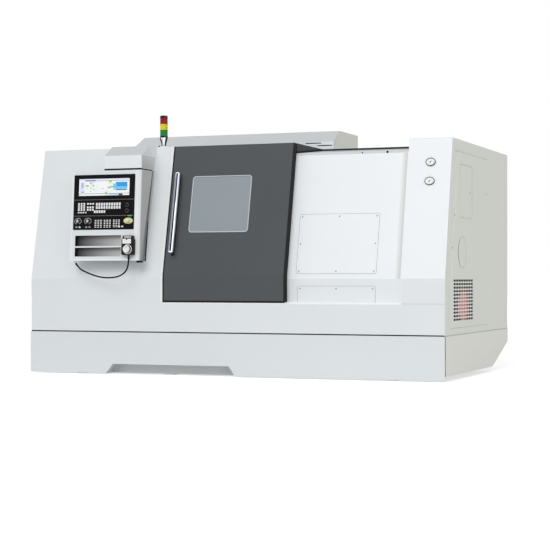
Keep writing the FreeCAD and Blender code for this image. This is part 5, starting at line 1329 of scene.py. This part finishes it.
# The vent grid, and the red glow painted on its lips: its middle and its reach across and up
VENT_Y = (0.267, 0.947)
VENT_Z = (0.497, 0.860)
VENT_COLUMNS, VENT_ROWS = 8, 12
VENT_SLOT = (0.066, 0.017)
VENT_LIP_SCALE = (1.064, 1, 0.78)
GLOW_AT = (0.600, 0.640)
GLOW_REACH = (0.20, 0.135)
GLOW_RED = (0.97, 0.24, 0.21)


class LATHE_OT_seams(bpy.types.Operator):
    """Add the seals between the sheets, the painted shadow lines round the covers, the painted
    light and shade facings, and vent lips in painted shade and glow
    """

    bl_idname = "lathe.seams"
    bl_label = "Seams and seals"

    def execute(self, context):
        self.front()
        self.shade_facings()
        self.filler()
        self.cover_strip()
        self.ends()
        return {"FINISHED"}

    def front(self):
        """Plinth seal, column joint, white noses as painted highlights, painted shadow lines round
        the covers, and painted shade on the fixed roof and its top edge.
        """
        # Painted highlights: white strips on the cabinet's edge and the ledge's nose
        nose = crown(rounded((-0.6265, 1.5785), (0.6375, 0.6502), 0.0005, 2), 0, TRIM, 0.001)
        piece("front_seams", [
            (strip((-1.955, 1.955), (SEAM_Z[0], SEAM_Z[1] + 0.005), 0, 0.0005), "rubber"),
            (strip((1.580, 1.956), (0.6485, 0.6505), 0, 0.0004), "seam", JOINT_AND_SHADOW_GREY),
            (strip(NOSE_HIGHLIGHT_X, FOOT_Z, 0, TRIM), "gloss_white"),
            (nose, "gloss_white")], "apron", "machine")
        piece("cabinet_nose", [
            (strip(NOSE_HIGHLIGHT_X, (0, up_to("front", 2.053)), 0, TRIM), "gloss_white")],
            "front", "machine")
        tall = rounded((0.609, 1.331), (up_to("fixed", 0.905), up_to("fixed", 1.420)), 0.012)
        low = rounded((0.625, 1.326), (0.655, 0.796), 0.012)
        # Painted shadow: grey lines round the inspection covers
        for name, outline, face in (
                ("cover_gasket", tall, "fixed"), ("low_cover_gasket", low, "fixed_foot")):
            piece(name, [(band(outline, 0.003, 0, TRIM), "seam", JOINT_AND_SHADOW_GREY)], face, "machine")
        # Painted shade: grey facings on the fixed roof and on its top edge
        piece("fixed_roof_mat", [(strip(FIXED_X, (0.004, 0.648)), "seam", ROOF_SHADE_GREY)],
              "fixed_roof", "machine")
        stop = [(0.010, 0), (0.010, 0.003), (0.007, 0.0045)]
        small_stop = [(0.006, 0), (0.006, 0.003)]
        piece("fixed_top_strip", [
            (strip(FIXED_X, FIXED_TOP), "seam", TOP_EDGE_SHADE_GREY),
            (turned(1.365, FIXED_STOPS, stop, 16), "rubber"),
            (turned(1.139, FIXED_STOPS, small_stop, 12), "rubber")],
            "fixed", "machine")

    def shade_facings(self):
        """Painted shade: greyer facings on the fixed panel's and column's feet, and the strip by
        the column, darker towards the column.
        """
        edge = strip(COLUMN_EDGE, (0, up_to("fixed", 1.943)), 0, 0.0005)
        piece("column_edge_strip", [
            (edge, "seam", graded(edge, 0, COLUMN_EDGE, COLUMN_SHADE_GREYS))],
            "fixed", "machine")
        cover = rounded((0.626, 1.325), (0.656, 0.795), 0.011)
        piece("fixed_foot_skin", [
            (strip((0.535, 1.578), FOOT_Z, 0, 0.0005), "seam", FOOT_SHADE_GREY),
            (slab(cover, 0.001, 0.0018), "seam", FOOT_SHADE_GREY)],
            "fixed_foot", "machine")
        piece("column_foot_skin", [
            (strip((1.5800, 1.9568), (0.6510, 0.8595), 0, 0.0005), "seam", COLUMN_FOOT_SHADE_GREY)],
            "apron", "machine")

    def filler(self):
        """The sheet that closes the gap between the left chamber wall and the roof."""
        sheet = [(0.347, 1.955), (1.006, 2.003), (1.006, 2.0505), (0.257, 2.0505), (0.240, 1.955)]
        piece("chamber_filler", [(slab(sheet, 0, 0.002), "chamber_steel")],
              "wall_side", "machine")

    def cover_strip(self):
        """Painted light: a white facing, lighter than the cover's shaded grey, on the raised
        cover's upright strip, in rows that leave its slots free.
        """
        left, right = TOP_STRIP_X
        rows = zip(TOP_STRIP_Z, TOP_STRIP_Z[1:], (None, TOP_SLOTS[0], None, TOP_SLOTS[1], None))
        parts = []
        for low, high, slot in rows:
            for x in ((left, right),) if slot is None else ((left, slot[0]), (slot[1], right)):
                parts.append((strip(x, (low, high), 0, 0.0008), "panel_paint"))
        piece("top_cover_strip", parts, "cover_front", "machine")

    def ends(self):
        """Lines of both ends, the rear's grooves, a black sheet behind the vent as painted shade,
        and the facing on the cover.

        The round cover's line is a painted shadow, dark and wider at its front: its inner points
        move back by ROUND_SHADOW_WIDENS (f / r - 0.2), where f is how far in front of the middle a
        point lies and r is the radius.
        """
        middle, height = ROUND_COVER
        line = band(ellipse(middle, height, ROUND_RADIUS, ROUND_RADIUS), END_LINE, -0.001, 0.0002)
        points = line[0]
        across, up = points[:, 0] - middle, points[:, 2] - height
        inner = np.hypot(across, up) < ROUND_RADIUS + END_LINE / 2
        points[:, 0] += ROUND_SHADOW_WIDENS * inner * np.clip(-across / ROUND_RADIUS - 0.2, 0, 1)
        small = rounded((0.488, 0.911), (1.390, 1.845), 0.020)
        piece("right_seams", [
            (strip(SEAL_Y, SEAM_Z, -0.010, -0.0027), "seam", PALE_LINE),
            (strip((-0.008, 0.010), (0.046, 0.376), 0, 0.0004), "rubber"),
            (band(small, END_LINE, -0.001, 0.0002), "seam", PALE_LINE),
            # Painted shadow: the round cover's line is dark on its front part
            (line, "seam", np.where(points[:, :1] < ROUND_SHADE_TO, *ROUND_SHADE_GREYS)),
            *strips(RIGHT_LINES, "seam", PALE_LINE, low=-0.003, high=-0.0002),
            # Painted shade: a black sheet behind the vent for the dark inside of the cabinet
            (strip((0.20, 1.12), (0.42, 0.94), -0.035, -0.033), "rubber"),
        ], "right", "machine")
        self.vent_lips()
        door = rounded((-1.400, -0.400), (0.500, 1.900), 0.020)
        piece("left_seam", [
            (strip((-SEAL_Y[1], -SEAL_Y[0]), SEAM_Z, -0.010, -0.0027), "seam", PALE_LINE),
            (band(door, 0.004, -0.001, 0.0002), "seam", PALE_LINE)], "left", "machine")
        grooves = [((x - 0.002, x + 0.002), (0.418, 1.902)) for x in REAR_DOORS_X]
        grooves += [
            ((REAR_DOORS_X[0], REAR_DOORS_X[-1]), (z - 0.002, z + 0.002)) for z in REAR_DOORS_Z]
        grooves = strips(grooves, "seam", PALE_LINE, low=-0.001, high=0.0002)
        piece("rear_seams", grooves, "rear", "machine")
        end = [
            (1.0455, 2.0555), (1.7535, 2.0555), (1.7535, 2.2385), (1.209, 2.2385), (1.0455, 2.130)]
        piece("top_cover_end", [(slab(end, 0, 0.0008), "end_paint")],
              "cover_side", "machine")

    def vent_lips(self):
        """Lips round the vent's slots in painted shade, near black, with a painted red glow where
        the hydraulic unit shows behind them.

        The painted glow falls evenly from one to nought between 0.7 and 1.3 times the oval
        GLOW_REACH about GLOW_AT.
        """
        wide = (VENT_Y[1] - VENT_Y[0]) / VENT_COLUMNS
        tall = (VENT_Z[1] - VENT_Z[0]) / VENT_ROWS
        across = np.repeat(VENT_Y[0] + wide * (np.arange(VENT_COLUMNS) + 0.5), VENT_ROWS)
        up = np.tile(VENT_Z[0] + tall * (np.arange(VENT_ROWS) + 0.5), VENT_COLUMNS)
        half = np.array(VENT_SLOT) / 2
        slot = rounded((0.0035 - half[0], half[0] - 0.0035), (-half[1], half[1]), 0.004, 3)
        lip, faces = band(slot, 0.0032, -0.001, 0.0003)
        lips = tiled((lip * VENT_LIP_SCALE, faces), np.stack([across, up], axis=-1))
        out = np.linalg.norm((lips[0][:, ::2] - GLOW_AT) / GLOW_REACH, axis=1)
        share = np.clip((1.3 - out) / 0.6, 0, 1)[:, None]
        piece("vent_lips", [(lips, "seam", 0.01 + share * (np.array(GLOW_RED) - 0.01))],
              "right", "machine")


# ---- fasteners ----

LOCK_GREY = (0.42, 0.43, 0.40)
RIGHT_LOCKS = ((0.832, 1.616), (1.438, 1.631), (0.313, 1.401), (0.247, 1.123))
LEFT_LOCKS_X = (-0.470, -1.330)
REAR_LOCKS_X = (0.140, 0.860, 0.940, 1.660)
LOCKS_Z = (0.640, 1.760)
# The inspection covers: how far their faces stand out, and their screws across and up
COVER_OUT = 0.0015
COVER_SCREWS_X = (0.630, 0.970, 1.310)
COVER_SCREWS_Z = (0.925, 1.162, 1.400)
LOW_SCREWS_X = (0.648, 0.976, 1.304)
LOW_SCREWS_Z = 0.776


class LATHE_OT_fasteners(bpy.types.Operator):
    """Add the covers' button-head screws and the service panel's locks"""

    bl_idname = "lathe.fasteners"
    bl_label = "Screws and locks"

    def execute(self, context):
        radius = context.scene.lathe_sizes.screw_radius
        middle = COVER_SCREWS_X[1], COVER_SCREWS_Z[1]
        places = [(x, z) for z in COVER_SCREWS_Z for x in COVER_SCREWS_X if (x, z) != middle]
        self.screws("cover_screws", "fixed", radius, [(x, up_to("fixed", z)) for x, z in places])
        self.screws("low_cover_screws", "fixed_foot", radius, [
            (x, LOW_SCREWS_Z) for x in LOW_SCREWS_X])
        self.locks("right", RIGHT_LOCKS)
        self.locks("left", [(x, z) for x in LEFT_LOCKS_X for z in LOCKS_Z])
        self.locks("rear", [(x, z) for x in REAR_LOCKS_X for z in LOCKS_Z])
        return {"FINISHED"}

    def locks(self, face, places):
        """Quarter-turn locks flush with their panel: a disc with a shallow raised middle."""
        lock = turned(0, 0, [(0.009, -0.001), (0.009, 0.0002), (0.005, 0.0004)], 16)
        piece(face + "_locks", [(tiled(lock, places), "seam", LOCK_GREY)], face, "machine")

    def screws(self, name, face, radius, places):
        """Button heads with a socket: a domed rim, then a flat-bottomed hollow."""
        head = turned(0, 0, [
            (radius, 0), (radius * 0.98, radius * 0.20), (radius * 0.80, radius * 0.48),
            (radius * 0.46, radius * 0.55), (radius * 0.46, radius * 0.20)], 12)
        piece(name, [(tiled(head, places, COVER_OUT), "gauge_rim")], face, "machine")


CLASSES = (
    LatheColours, LatheSizes, LatheStudio, LATHE_OT_finishes, LATHE_OT_camera, LATHE_OT_stage,
    LATHE_OT_cable, LATHE_OT_door, LATHE_OT_panel, LATHE_OT_dials, LATHE_OT_hand_unit,
    LATHE_OT_pendant_trim, LATHE_OT_tower, LATHE_OT_gauges, LATHE_OT_seams, LATHE_OT_fasteners,
)
ORDER = (
    "camera", "cable", "finishes", "door", "panel", "dials", "hand_unit", "pendant_trim", "tower",
    "gauges", "seams", "fasteners", "stage",
)


class LATHE_PT_dressing(bpy.types.Panel):
    """Lists the machine's pieces, sizes, colours and light"""

    bl_idname = "LATHE_PT_dressing"
    bl_label = "Turning lathe"
    bl_space_type = "VIEW_3D"
    bl_region_type = "UI"
    bl_category = "Lathe"

    def draw(self, context):
        for name in ORDER:
            self.layout.operator("lathe." + name)
        for group in ("lathe_colours", "lathe_sizes", "lathe_studio"):
            settings = getattr(context.scene, group)
            box = self.layout.box()
            for key in type(settings).__annotations__:
                box.prop(settings, key)


def register():
    for made in (*CLASSES, LATHE_PT_dressing):
        bpy.utils.register_class(made)
    bpy.types.Scene.lathe_colours = PointerProperty(type=LatheColours)
    bpy.types.Scene.lathe_sizes = PointerProperty(type=LatheSizes)
    bpy.types.Scene.lathe_studio = PointerProperty(type=LatheStudio)


def unregister():
    del bpy.types.Scene.lathe_studio
    del bpy.types.Scene.lathe_sizes
    del bpy.types.Scene.lathe_colours
    for made in reversed((*CLASSES, LATHE_PT_dressing)):
        bpy.utils.unregister_class(made)


def main():
    register()
    for name in ORDER:
        getattr(bpy.ops.lathe, name)()


if __name__ == "__main__":
    main()
